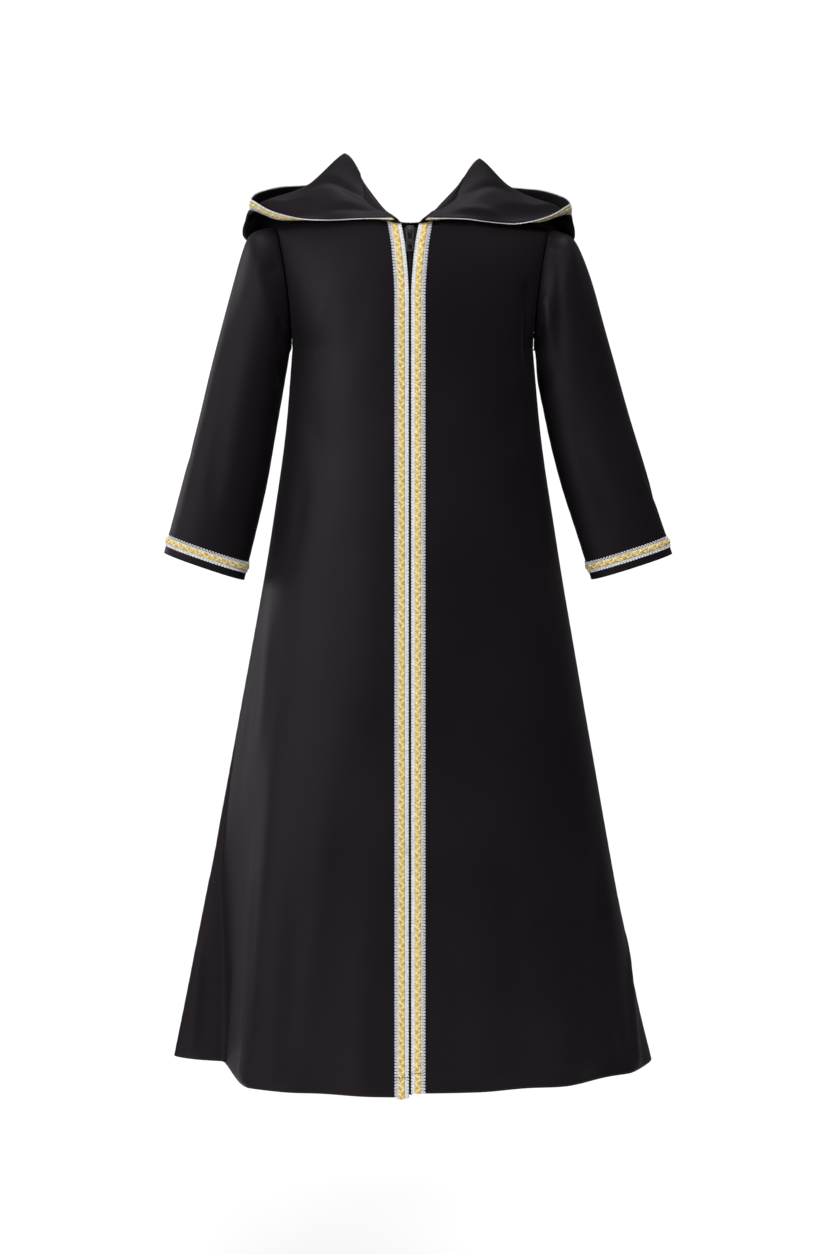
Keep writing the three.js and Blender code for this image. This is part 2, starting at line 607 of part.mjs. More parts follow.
// An arch over the front plate, which holds the pull tab.
function sliderBridge(front) {
  const { wide, reach, high, bar, sunk } = BRIDGE;
  const arch = new THREE.Shape();
  arch.moveTo(-reach, -sunk);
  arch.absellipse(0, 0, reach, high, Math.PI, 0, true);
  arch.lineTo(reach, -sunk);
  arch.lineTo(reach - bar, -sunk);
  arch.absellipse(0, 0, reach - bar, high - bar, 0, Math.PI, false);
  arch.lineTo(-(reach - bar), -sunk);
  const bridge = new THREE.ExtrudeGeometry(arch, { depth: wide, bevelEnabled: false, curveSegments: 8 });
  bridge.rotateY(Math.PI / 2).rotateZ(Math.PI);
  return bridge.translate(wide / 2, front, 0);
}

function sliderGeometry() {
  const frontPlate = ZIP_DEPTH - SLIDER.gap / 2 - SLIDER.plate;
  const backPlate = ZIP_DEPTH + SLIDER.gap / 2;
  const post = new THREE.CylinderGeometry(POST.radius, POST.radius, SLIDER.gap + SLIDER.plate, 8);
  post.translate(0, ZIP_DEPTH, POST.up);
  const parts = [sliderPlate(frontPlate), sliderPlate(backPlate), post, sliderBridge(frontPlate)];
  return fromManifold(parts.map(toManifold).reduce((all, part) => all.add(part)));
}

// The pull tab hangs from its top bar, whose middle is the hinge line.
function pullGeometry() {
  const { width, foot, length, thick, bar } = PULL;
  const top = bar / 2;
  const outline = new THREE.Shape();
  outline.moveTo(-foot / 2 + bar, top - length);
  outline.lineTo(foot / 2 - bar, top - length);
  outline.quadraticCurveTo(foot / 2, top - length, foot / 2, top - length + bar);
  outline.lineTo(width / 2, top - bar);
  outline.quadraticCurveTo(width / 2, top, width / 2 - bar, top);
  outline.lineTo(-width / 2 + bar, top);
  outline.quadraticCurveTo(-width / 2, top, -width / 2, top - bar);
  outline.lineTo(-foot / 2, top - length + bar);
  outline.quadraticCurveTo(-foot / 2, top - length, -foot / 2 + bar, top - length);
  const hole = (wide, start, end) => {
    const path = new THREE.Path();
    path.moveTo(-wide / 2, top - start);
    path.lineTo(wide / 2, top - start);
    path.lineTo(wide / 2, top - end);
    path.lineTo(-wide / 2, top - end);
    return path;
  };
  outline.holes = [
    hole(PULL_HOLES.top, bar, PULL_HOLES.topEnd),
    hole(PULL_HOLES.low, PULL_HOLES.lowStart, PULL_HOLES.lowEnd),
  ];
  const tab = new THREE.ExtrudeGeometry(outline, { depth: thick, bevelEnabled: false, curveSegments: 3 });
  return tab.rotateX(Math.PI / 2).translate(0, thick / 2, 0);
}

const sliderPlace = new THREE.Group();
sliderPlace.position.set(0, clothY(SLIDER.z), SLIDER.z);
sliderPlace.rotation.x = -lean;
garment.add(sliderPlace);
sliderPlace.add(addPiece("zip_slider", sliderGeometry(), "metal"));
const pull = addPiece("zip_pull", pullGeometry(), "metal");
pull.position.set(0, -PULL.lift, 0);
pull.rotation.x = THREE.MathUtils.degToRad(PULL.lean);
sliderPlace.add(pull);

export default garment;
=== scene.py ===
"""A child's hooded abaya, worn shape: black satin crepe, braid in silver and gold, zip front.

Sizes in this script are millimetres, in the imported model's frame: +Z up, the front
faces -Y, the wearer's left is +X, and the origin is midway between the high shoulder
points. Meshes are written in metres.
"""

import math
from functools import partial

import bmesh
import bpy
import numpy as np
from mathutils import Matrix, Vector, noise


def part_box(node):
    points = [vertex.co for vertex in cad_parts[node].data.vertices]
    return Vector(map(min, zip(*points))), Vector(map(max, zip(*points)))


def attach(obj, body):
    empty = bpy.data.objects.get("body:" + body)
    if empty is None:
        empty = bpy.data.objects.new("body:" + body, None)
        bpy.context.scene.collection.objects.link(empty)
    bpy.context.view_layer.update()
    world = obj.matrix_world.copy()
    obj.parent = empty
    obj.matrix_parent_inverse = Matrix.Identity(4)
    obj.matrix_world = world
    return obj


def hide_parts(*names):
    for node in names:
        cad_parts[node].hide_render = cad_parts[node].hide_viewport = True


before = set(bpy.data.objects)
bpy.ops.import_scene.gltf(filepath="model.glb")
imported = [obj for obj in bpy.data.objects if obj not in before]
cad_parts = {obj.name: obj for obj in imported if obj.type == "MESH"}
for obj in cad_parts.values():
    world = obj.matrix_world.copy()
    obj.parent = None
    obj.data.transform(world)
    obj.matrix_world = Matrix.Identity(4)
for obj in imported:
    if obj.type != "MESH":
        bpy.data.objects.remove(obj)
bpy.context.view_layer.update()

MM = 0.001
SIDES = ("right", "left")
SIGN = {"right": -1, "left": 1}
GARMENT = "garment"
PULL_TAB = "pull_tab"

# ---- camera ---------------------------------------------------------------
CAMERA_AT = (8, -2500, -235)
CAMERA_DOWN = 4.81  # degrees below the horizon
CAMERA_LENS, CAMERA_SENSOR = 69.14, 36  # the sensor is on the long side of the picture
CAMERA_REACH = 50  # metres


def make_camera():
    data = bpy.data.cameras.new("camera")
    data.lens = CAMERA_LENS
    data.sensor_width = CAMERA_SENSOR
    data.clip_end = CAMERA_REACH
    camera = bpy.data.objects.new("camera", data)
    bpy.context.scene.collection.objects.link(camera)
    camera.location = [value * MM for value in CAMERA_AT]
    camera.rotation_euler = (math.radians(90 - CAMERA_DOWN), 0, 0)
    bpy.context.scene.camera = camera


def table_of(columns, *rows):
    """The rows of a table, each with the names of its columns."""
    return [dict(zip(columns.split(), row)) for row in rows]


# ---- sizes of the cut -----------------------------------------------------
CLOTH = 1.1
HEM_CLOTH = 2.0
SEAM = 0.4
SEAM_LAP, SEAM_LAP_REACH = 0.65, 3.0  # front and back cross here, so that their seams are closed
BRAID_WIDTH = {"front": 14.6, "cuff": 12.0, "hood": 12.0}
BRAID_ABOVE_CUFF = 7.5
HEM_TURN_UP = 20

ARMPIT_Z = -158
HIGH_SHOULDER_X = 50
SHOULDER_SLOPE = 0.388
SHOULDER_X = {"right": 137, "left": 141}
ARMHOLE_BOW = {"right": 4, "left": 3}
FRONT_NECK_Z = -36
BACK_NECK_Z = -25
YOKE_SPREAD = 26
YOKE_SPREAD_POWER = 0.7
YOKE_SQUARE = 2.4
YOKE_BLEND = 40  # half height of the change from skirt to yoke
YOKE_EASE = 0.15  # share of the yoke's height over which it starts to widen

BODY_ROWS = table_of(
    "z right left front back square",
    (-158, 121.5, 126.5, 80, 75, 2.35),
    (-240, 128.5, 134.2, 88, 82, 2.32),
    (-365, 146.8, 153.0, 100, 93, 2.28),
    (-501, 172.0, 176.6, 112, 103, 2.24),
    (-670, 204.0, 207.0, 125, 115, 2.2),
    (-840, 238.0, 239.5, 135, 126, 2.16),
    (-903, 251.0, 255.0, 139, 130, 2.14),
)
HEM_Z = {"right": -906, "left": -902}
SIDE_HEM_Z = {"right": -899.5, "left": -902}
BACK_HEM_Z = -900
ZIP_EDGE_ROWS = table_of("z x", (-940, 1.0), (-110, 1.0), (-62, 4.0), (-30, 9.5))

# The largest folds: troughs from (x_top, z_top) down to x_hem.
FOLDS = table_of(
    "face x_top z_top x_hem inner outer depth sharp",
    ("front", -166, -400, -208, 46, 60, 95, 1),
    ("front", 142, -480, 202, 46, 44, 12, 1),
    ("front", 84, -560, 116, 48, 42, 6, 1),
    ("front", -66, -600, -88, 50, 40, 5, 1),
    ("back", -124, -330, -188, 44, 46, 30, 0.8),
    ("back", -52, -250, -92, 46, 44, 19, 1),
    ("back", 6, -420, 10, 44, 44, 11, 1),
    ("back", 58, -280, 98, 42, 46, 22, 1),
    ("back", 132, -350, 190, 42, 48, 28, 0.8),
)
FOLD_TOP_REACH = 0.35  # share of a fold's outer reach where it starts
FOLD_GROWTH = 1.4
FOLD_END = 1.01  # a fold stops growing just past the hem of the back
LEAST_DEPTH = 0.1  # share of the depth that the deepest fold leaves

# Near the hem the side seams hang as soft edges: share of the depth that they lose,
# over a share of the half width and a height above the hem.
SIDE_PINCH, PINCH_REACH, PINCH_RISE = 0.3, 0.12, 150

# Sleeve rings from armhole to cuff: under the arm, outer side, half depth, middle y.
RING_COLUMNS = "x_in z_in x_out z_out depth y"
SLEEVE_RINGS = {
    "right": [
        (124.3, -161, 153, -35.5, 46, 2), (125.4, -166, 165, -42, 49, 2), (126.6, -173, 173, -60, 49, 2),
        (129.2, -188, 184, -98, 46, 1), (134.0, -218, 200.5, -160, 42, -1), (140.8, -258, 216, -222, 38, -4),
        (149.2, -302, 230, -276, 35, -6), (159.8, -348, 243, -324, 31, -8),
        (171.6, -395.5, 254.6, -367, 28, -10),
    ],
    "left": [
        (128.8, -161, 155, -38, 46, 2), (129.4, -167, 166.5, -44, 49, 2), (129.9, -176, 176, -60, 49, 2),
        (131.4, -192, 190, -98, 46, 1), (137.2, -220, 207.5, -160, 42, -1), (146.0, -260, 225, -224, 38, -4),
        (157.6, -303, 242, -278, 35, -6), (172.2, -349, 256.3, -325, 31, -8),
        (187.2, -395, 271, -368, 28, -10),
    ],
}
SLEEVE_SQUARE = 2.2

# Hood ribs from the zip round to the crown seam: low, middle, high and rim points.
HOOD_RIBS = table_of(
    "low middle high rim",
    ((11, -65, -33.5), (12.6, -66, -31.5), (15, -66.5, -30.5), (18, -67, -30)),
    ((26, -54, -21), (29, -47, -17), (41, -55, -23), (52, -60, -29.5)),
    ((43, -36, -1), (47.5, -25, 7), (68, -42, -9), (84, -50, -29.5)),
    ((57, -10, 17), (66.5, -5, 36), (92, -20, 7), (112, -37, -27)),
    ((66, 8, 13), (85, 8, 19.5), (116, -4, 1), (139, -26, -20)),
    ((72, 24, 0), (107, 18, 1), (140, 8, -6), (158, -12, -9)),
    ((76, 40, -14), (124, 38, -29), (171, 14, -41), (163, 3, -4)),
    ((70, 62, -32), (116, 74, -52), (155, 58, -46), (155, 35, 6)),
    ((58, 80, -62), (94, 98, -88), (130, 98, -58), (126, 71, 15)),
    ((32, 88, -92), (56, 108, -150), (82, 126, -80), (78, 93, 13)),
    ((0, 89, -100), (0, 110, -176), (0, 136, -96), (0, 108, -27)),
)
HOOD_LEVELS = ("low", "middle", "high", "rim")
HOOD_LEFT_SHIFT = dict(low=(2, 0, -2), middle=(4, 0, -4.5), high=(-3, 0, -3), rim=(1, 0, -4.5))
SHIFT_START, SHIFT_BLEND, SHIFT_END_BLEND = 0.12, 0.15, 0.3
SHOULDER_RIB = 0.36
HOOD_GAP = 0.7
# Over the shoulder the rim turns up and shows its braid: depth of the fold below it.
RIM_TURN_ROUND = (0.0, 0.20, 0.30, 0.38, 0.50, 0.60, 1.0)
RIM_TURN_DEPTH = {"right": (0, 0, 7, 12, 13, 0, 0), "left": (0, 0, 4, 8.5, 10.5, 0, 0)}
RIM_TURN_START = 0.86
FRONT_RIM_LIFT, FRONT_RIM_REACH = 0.8, 0.2
# The point of each hood half, drawn up a little, and how far the pull reaches.
PEAK_AROUND, PEAK_UP = 0.305, 0.49
PEAK_REACH_AROUND, PEAK_REACH_UP, PEAK_RISE = 0.035, 0.07, 4.0

CLOTH_BACK_OF_ZIP = 2.6  # middle of the zip chain behind the face of the cloth

# ---- creases laid one by one ----------------------------------------------
# Each row is a soft trough (depth above 0) or ridge (below 0) between two places
# on a piece. bow bends its line sideways, width is half its breadth.
# Body rows are in (x, z); sleeve rows in (around, along); hood rows in (round, up).
CREASE_COLUMNS = "start end bow width depth fade_in fade_out"
BODY_CREASES = {
    "front": [
        ((-160, -640), (-171, -905), 2, 8, -3.4, 0.4, 0.02),
        ((-186, -780), (-196, -903), 1, 6, 2.4, 0.3, 0.02),
        ((-222, -760), (-232, -901), -2, 7, -2.2, 0.4, 0.02),
        ((-156, -455), (-178, -640), 5, 12, 2.8, 0.4, 0.5),
        ((-141, -400), (-158, -600), -4, 11, -2.2, 0.4, 0.4),
        ((-136, -560), (-142, -905), -3, 15, -1.6, 0.5, 0.05),
        ((-106, -650), (-118, -905), 3, 17, 1.7, 0.5, 0.05),
        ((-44, -690), (-50, -905), 2, 15, -1.1, 0.5, 0.05),
        ((-112, -200), (-70, -300), 6, 15, 1.3, 0.3, 0.6),
        ((-104, -250), (-128, -420), -4, 10, 1.2, 0.4, 0.5),
        ((-40, -75), (-58, -200), 5, 16, 0.9, 0.3, 0.6),
        ((121, -80), (119, -200), 3, 8, 4.6, 0.25, 0.45),
        ((116, -195), (76, -290), -6, 15, 1.8, 0.3, 0.6),
        ((112, -262), (138, -450), 4, 11, 1.3, 0.4, 0.5),
        ((44, -80), (60, -210), -5, 16, 0.9, 0.3, 0.6),
        ((186, -620), (214, -900), 4, 11, 3.0, 0.45, 0.04),
        ((222, -700), (236, -900), -2, 8, -2.4, 0.4, 0.04),
        ((160, -560), (176, -900), -4, 14, -2.0, 0.5, 0.05),
        ((130, -640), (146, -900), 3, 13, 1.5, 0.5, 0.05),
        ((78, -600), (92, -900), 3, 18, -1.4, 0.5, 0.05),
        ((44, -720), (50, -900), -2, 14, 0.9, 0.5, 0.05),
    ],
    "back": [
        ((-92, -120), (-60, -330), 8, 20, 2.2, 0.3, 0.6),
        ((94, -120), (66, -340), -8, 20, 2.0, 0.3, 0.6),
        ((-26, -190), (-34, -520), 4, 17, 1.8, 0.4, 0.6),
        ((30, -180), (40, -470), -4, 17, 1.6, 0.4, 0.6),
        ((-112, -205), (-70, -280), 6, 12, 1.6, 0.3, 0.6),
        ((114, -205), (72, -275), -6, 12, 1.7, 0.3, 0.6),
        ((-128, -480), (-150, -898), 6, 12, -3.0, 0.45, 0.04),
        ((-40, -520), (-52, -898), -5, 13, -2.6, 0.5, 0.04),
        ((48, -560), (56, -898), 4, 12, -2.4, 0.5, 0.04),
        ((128, -500), (146, -898), -5, 13, -2.8, 0.45, 0.04),
        ((206, -640), (226, -898), 3, 10, 2.4, 0.4, 0.04),
        ((-204, -640), (-226, -898), -3, 10, 2.2, 0.4, 0.04),
    ],
}
SLEEVE_CREASES = {
    "right": [
        ((0.34, 0.36), (0.25, 0.92), 4, 11, 2.4, 0.35, 0.3),
        ((0.44, 0.30), (0.40, 0.90), -3, 8, -1.8, 0.35, 0.3),
        ((0.16, 0.06), (0.11, 0.34), 3, 9, 2.2, 0.1, 0.5),
        ((0.30, 0.02), (0.26, 0.22), 2, 7, 1.3, 0.1, 0.6),
        ((0.03, 0.48), (0.20, 0.42), 3, 7, 1.9, 0.2, 0.6),
        ((0.03, 0.60), (0.19, 0.58), -2, 6, 1.3, 0.2, 0.6),
        ((0.70, 0.12), (0.80, 0.52), 5, 12, 2.4, 0.3, 0.5),
        ((0.62, 0.40), (0.72, 0.92), -4, 12, 2.0, 0.4, 0.3),
        ((0.97, 0.50), (0.82, 0.44), -3, 7, 2.0, 0.2, 0.6),
        ((0.52, 0.72), (0.44, 0.80), 1, 5, 0.9, 0.4, 0.5),
    ],
    "left": [
        ((0.37, 0.08), (0.18, 0.58), 7, 8, 3.4, 0.15, 0.45),
        ((0.45, 0.10), (0.30, 0.60), 6, 8, -1.8, 0.25, 0.5),
        ((0.40, 0.005), (0.33, 0.14), 1, 4, 2.2, 0.03, 0.5),
        ((0.13, 0.04), (0.10, 0.34), 2, 8, 4.2, 0.1, 0.5),
        ((0.23, 0.03), (0.17, 0.46), 3, 7, -2.4, 0.1, 0.5),
        ((0.20, 0.58), (0.24, 0.92), 3, 10, 1.8, 0.4, 0.3),
        ((0.42, 0.78), (0.51, 0.88), 1, 4, 1.5, 0.3, 0.3),
        ((0.03, 0.50), (0.18, 0.46), 3, 7, 1.9, 0.2, 0.6),
        ((0.70, 0.10), (0.82, 0.50), 5, 12, 2.6, 0.3, 0.5),
        ((0.60, 0.44), (0.70, 0.92), -4, 12, 2.0, 0.4, 0.3),
        ((0.97, 0.54), (0.82, 0.50), -3, 7, 1.9, 0.2, 0.6),
    ],
}
HOOD_CREASES = {
    "right": [
        ((0.40, 0.80), (0.10, 0.56), 2, 5, -2.4, 0.3, 0.4),
        ((0.24, 0.93), (0.06, 0.66), 1, 5, -1.8, 0.3, 0.4),
        ((0.46, 0.62), (0.60, 0.90), 3, 8, 2.0, 0.4, 0.2),
        ((0.70, 0.25), (0.78, 0.88), 5, 12, 3.0, 0.3, 0.2),
        ((0.88, 0.20), (0.90, 0.80), -4, 12, -2.6, 0.3, 0.3),
        ((0.60, 0.35), (0.94, 0.55), -6, 9, 2.4, 0.4, 0.3),
    ],
    "left": [
        ((0.38, 0.82), (0.12, 0.58), 2, 5, -1.8, 0.3, 0.4),
        ((0.26, 0.95), (0.08, 0.68), -1, 5, 1.5, 0.3, 0.4),
        ((0.48, 0.60), (0.58, 0.92), 3, 8, 1.8, 0.4, 0.2),
        ((0.68, 0.28), (0.80, 0.86), 5, 13, 3.2, 0.3, 0.2),
        ((0.86, 0.22), (0.88, 0.84), 4, 11, -2.4, 0.3, 0.3),
        ((0.62, 0.50), (0.96, 0.62), 5, 9, 2.2, 0.4, 0.3),
    ],
}


# ---- curves through tables ------------------------------------------------
def mix(a, b, t):
    return a + (b - a) * t


def soft_step(t):
    t = np.clip(t, 0, 1)
    return t * t * (3 - 2 * t)


def curve_through(rows, column):
    """A smooth function of z through one column of a table, which never overshoots."""
    ordered = sorted(rows, key=lambda row: row["z"])
    z = np.array([row["z"] for row in ordered], float)
    y = np.array([row[column] for row in ordered], float)
    secant = np.diff(y) / np.diff(z)
    product = secant[:-1] * secant[1:]
    total = np.where(product > 0, secant[:-1] + secant[1:], 1)
    slope = np.concatenate([secant[:1], np.where(product > 0, 2 * product / total, 0), secant[-1:]])

    def value(at):
        at = np.clip(at, z[0], z[-1])
        i = np.clip(np.searchsorted(z, at, side="right") - 1, 0, len(z) - 2)
        step = z[i + 1] - z[i]
        t = (at - z[i]) / step
        rise = t * (1 - t) ** 2 * step * slope[i]
        fall = t * t * (t - 1) * step * slope[i + 1]
        return mix(y[i], y[i + 1], soft_step(t)) + rise + fall

    return value


def spline(points, t):
    """Catmull-Rom through evenly spaced points; points is (n, 3), or (n, len(t), 3)."""
    points = np.asarray(points, float)
    ends = np.concatenate([[2 * points[0] - points[1]], points, [2 * points[-1] - points[-2]]])
    at = np.clip(t, 0, 1) * (len(points) - 1)
    i = np.minimum(at.astype(int), len(points) - 2)
    f = (at - i)[:, None]
    rows = np.arange(len(t))
    a, b, c, d = (ends[i + k, rows] if points.ndim == 3 else ends[i + k] for k in range(4))
    bend = (2 * a - 5 * b + 4 * c - d) * f**2 + (3 * b - a - 3 * c + d) * f**3
    return 0.5 * (2 * b + (c - a) * f + bend)


BODY = {column: curve_through(BODY_ROWS, column) for column in ("right", "left", "front", "back", "square")}
zip_edge_x = curve_through(ZIP_EDGE_ROWS, "x")


# ---- surfaces of the robe -------------------------------------------------
def shoulder_z(x):
    return -(x - HIGH_SHOULDER_X) * SHOULDER_SLOPE


def eased(rise):
    """A rise from 0 to 1 that starts softly, so that no line shows at the armpit."""
    return (np.sqrt(rise**2 + YOKE_EASE**2) - YOKE_EASE) / (math.sqrt(1 + YOKE_EASE**2) - YOKE_EASE)


def body_depth(face, x, z):
    """Depth of the robe in y at the places (x, z), before folds."""
    on_left = x >= 0
    lower = np.minimum(z, ARMPIT_Z)
    shoulder_end = np.where(on_left, shoulder_z(SHOULDER_X["left"]), shoulder_z(SHOULDER_X["right"]))
    rise = np.maximum(0, (z - ARMPIT_Z) / (shoulder_end - ARMPIT_Z))
    width = np.where(on_left, BODY["left"](lower), BODY["right"](lower))
    width = width + YOKE_SPREAD * eased(rise) ** YOKE_SPREAD_POWER
    square = BODY["square"](lower)
    across = np.maximum(0, 1 - (np.abs(x) / width) ** square) ** (1 / square)
    to_ridge = np.clip((z - ARMPIT_Z) / (shoulder_z(np.abs(x)) - ARMPIT_Z), 0, 1)
    over = (1 - to_ridge**YOKE_SQUARE) ** (1 / YOKE_SQUARE)
    softly = ARMPIT_Z - YOKE_BLEND * np.log1p(np.exp((ARMPIT_Z - z) / YOKE_BLEND))
    return BODY[face](softly) * across * over


def fold_depth(face, x, z):
    depth = np.zeros_like(x)
    for fold in (row for row in FOLDS if row["face"] == face):
        down = np.clip((z - fold["z_top"]) / (BACK_HEM_Z - fold["z_top"]), 0, FOLD_END)
        outward = (x - mix(fold["x_top"], fold["x_hem"], down)) * np.sign(fold["x_hem"])
        outer = fold["outer"] * mix(FOLD_TOP_REACH, 1, down)
        part = np.minimum(1, np.abs(outward / np.where(outward < 0, fold["inner"], outer)))
        depth += fold["depth"] * down**FOLD_GROWTH * np.cos(part * math.pi / 2) ** (2 * fold["sharp"])
    return depth


def side_pinch(x, z):
    """Share of the depth that is left beside the side seams near the hem."""
    width = np.where(x >= 0, BODY["left"](z), BODY["right"](z))
    beside = soft_step((np.abs(x) / width - 1 + PINCH_REACH) / PINCH_REACH)
    return 1 - SIDE_PINCH * beside * soft_step((BACK_HEM_Z + PINCH_RISE - z) / PINCH_RISE)


def body_point(face, x, z):
    x, z = np.broadcast_arrays(np.asarray(x, float), np.asarray(z, float))
    deep = body_depth(face, x, z)
    pulled = np.maximum(deep - fold_depth(face, x, z), deep * LEAST_DEPTH) * side_pinch(x, z)
    outward = -1 if face == "front" else 1
    lapped = SEAM_LAP * np.exp(-pulled / SEAM_LAP_REACH)
    return np.stack([x, outward * (pulled + SEAM / 2 - lapped), z], -1)


SPLIT = 0.6  # place of the armpit between the hem (0) and the top edge (1)
NECK_U = 0.5  # place of the high shoulder point between the zip (0) and the side (1)


def top_edge(face, side, u):
    """Neckline, then shoulder seam: x and z."""
    neck_z = FRONT_NECK_Z if face == "front" else BACK_NECK_Z
    start = zip_edge_x(np.array(float(FRONT_NECK_Z))) if face == "front" else 0
    turn = np.clip(u / NECK_U, 0, 1) * math.pi / 2
    seam_x = mix(HIGH_SHOULDER_X, SHOULDER_X[side], (u - NECK_U) / (1 - NECK_U))
    x = np.where(u <= NECK_U, mix(start, HIGH_SHOULDER_X, np.sin(turn)), seam_x)
    z = np.where(u <= NECK_U, neck_z * np.cos(turn), shoulder_z(seam_x))
    return x, z


def panel_point(face, side, u, v):
    """u runs from the centre (0) to the side (1), v from the hem (0) to the top (1)."""
    inner = zip_edge_x if face == "front" else np.zeros_like
    hem_z = mix(HEM_Z[side] if face == "front" else BACK_HEM_Z, SIDE_HEM_Z[side], u * u)

    def across_at(z):
        part = np.sin(u * math.pi / 2) ** (2 / BODY["square"](z))
        return inner(z) + (BODY[side](z) - inner(z)) * part

    low_z = mix(hem_z, ARMPIT_Z, np.minimum(v / SPLIT, 1))
    rise = (1 - np.cos(math.pi * np.clip((v - SPLIT) / (1 - SPLIT), 0, 1))) / 2
    top_x, top_z = top_edge(face, side, u)
    bow = ARMHOLE_BOW[side] * np.sin(math.pi * rise) * u**3
    high_z = mix(ARMPIT_Z, top_z, rise)
    armpit = np.full_like(u, ARMPIT_Z)
    lean = (inner(high_z) - mix(inner(armpit), inner(top_z), rise)) * (1 - u)
    high_x = mix(across_at(armpit), top_x, rise) - bow + lean
    below = v <= SPLIT
    x = np.where(below, across_at(low_z), high_x)
    return body_point(face, SIGN[side] * x, np.where(below, low_z, high_z))


def back_point(u, v):
    """The back is one panel: u runs from the right side seam to the left one."""
    half = np.abs(2 * u - 1)
    right = panel_point("back", "right", half, v)
    left = panel_point("back", "left", half, v)
    return np.where((u < 0.5)[:, None], right, left)


def sleeve_point(side, around, along):
    """around 0 is under the arm, 0.25 the front, 0.5 the outer side, 0.75 the back."""
    around = around % 1
    up = np.where(around <= 0.5, around * 2, 2 - around * 2)
    one = np.ones_like(around)
    front = panel_point("front", side, one, mix(SPLIT, 1, up))
    back = panel_point("back", side, one, mix(SPLIT, 1, up))
    head = np.where((around <= 0.5)[:, None], front, back)
    head = np.stack([np.abs(head[:, 0]) + SEAM, head[:, 1], head[:, 2] + SEAM / 2], -1)
    turn = around * 2 * math.pi

    def shaped(value):
        return np.sign(value) * np.abs(value) ** (2 / SLEEVE_SQUARE)

    out = 0.5 - 0.5 * shaped(np.cos(turn))
    forward = shaped(np.sin(turn))
    rings = [head]
    for ring in table_of(RING_COLUMNS, *SLEEVE_RINGS[side]):
        x = mix(ring["x_in"], ring["x_out"], out)
        z = mix(ring["z_in"], ring["z_out"], out)
        rings.append(np.stack([x, ring["y"] - ring["depth"] * forward, z], -1))
    point = spline(np.array(rings), along)
    return point * np.array([SIGN[side], 1, 1])


def hood_point(side, around, up):
    """around 0 is the zip, 1 the crown seam; up 0 is the neck seam, 1 the rim."""
    in_front = around <= SHOULDER_RIB
    front_u = np.clip(around / SHOULDER_RIB, 0, 1) * NECK_U
    back_u = np.clip((1 - around) / (1 - SHOULDER_RIB), 0, 1) * NECK_U
    top = np.ones_like(around)
    front = panel_point("front", side, front_u, top)
    back = panel_point("back", side, back_u, top)
    neck = np.where(in_front[:, None], front, back)
    neck = np.stack([np.abs(neck[:, 0]), neck[:, 1], neck[:, 2] + HOOD_GAP], -1)
    shift = np.zeros_like(around)
    if side == "left":
        start = np.clip((around - SHIFT_START) / SHIFT_BLEND, 0, 1)
        shift = start * np.clip((1 - around) / SHIFT_END_BLEND, 0, 1)
    rows = [neck]
    for level in HOOD_LEVELS:
        row = spline([rib[level] for rib in HOOD_RIBS], around)
        rows.append(row + np.array(HOOD_LEFT_SHIFT[level]) * shift[:, None])
    point = spline(np.array(rows), up)
    away = np.hypot((around - PEAK_AROUND) / PEAK_REACH_AROUND, (up - PEAK_UP) / PEAK_REACH_UP)
    point[:, 2] += PEAK_RISE * np.exp(-away)
    near_rim = np.clip((up - RIM_TURN_START) / (1 - RIM_TURN_START), 0, 1)
    point[:, 2] += FRONT_RIM_LIFT * soft_step((FRONT_RIM_REACH - around) / FRONT_RIM_REACH) * near_rim
    point[:, 2] -= np.interp(around, RIM_TURN_ROUND, RIM_TURN_DEPTH[side]) * np.sin(near_rim * math.pi)
    point[:, 0] = np.maximum(SEAM / 2, point[:, 0])
    return point * np.array([SIGN[side], 1, 1])


# ---- sheets of cloth ------------------------------------------------------
EDGE_COLUMN = 1.6  # breadth of the fine columns beside a seam
SEAM_DIP = 0.7  # how far the cloth turns in at a seam
SEAM_DIP_REACH = 2.2
PUCKER = 0.28
PUCKER_REACH = 7
PUCKER_LENGTH = 17
PUCKER_DRIFT, DRIFT_LENGTH = 2.1, 41  # by this the puckers are spaced unevenly


def spaced(count, length, fine_low=0, fine_high=0):
    """Positions from 0 to 1 with fine steps at either end of a given length."""
    step = EDGE_COLUMN / length
    low = [i * step for i in range(fine_low)]
    high = [1 - i * step for i in range(fine_high)]
    middle = np.linspace(fine_low * step, 1 - fine_high * step, count + 1 - fine_low - fine_high)
    return np.array(low + list(middle) + high[::-1])


def normals_of(grid, wrap):
    """Unit normals of a grid of points, across times along."""
    if wrap:
        round_it = np.concatenate([grid[:, -2:-1], grid, grid[:, 1:2]], 1)
        across = (round_it[:, 2:] - round_it[:, :-2]) / 2
    else:
        across = np.gradient(grid, axis=1)
    normal = np.cross(across, np.gradient(grid, axis=0))
    length = np.linalg.norm(normal, axis=-1, keepdims=True)
    return normal / np.maximum(length, 1e-9)


def crease_line(surface, row):
    """Points along a crease, on the surface."""
    t = np.linspace(0, 1, 13)
    start, end = np.array(row["start"], float), np.array(row["end"], float)
    line = surface(mix(start[0], end[0], t), mix(start[1], end[1], t))
    straight = line[-1] - line[0]
    sideways = np.cross(straight / np.linalg.norm(straight), [0, -1, 0])
    return line + sideways * (row["bow"] * 4 * t * (1 - t))[:, None]


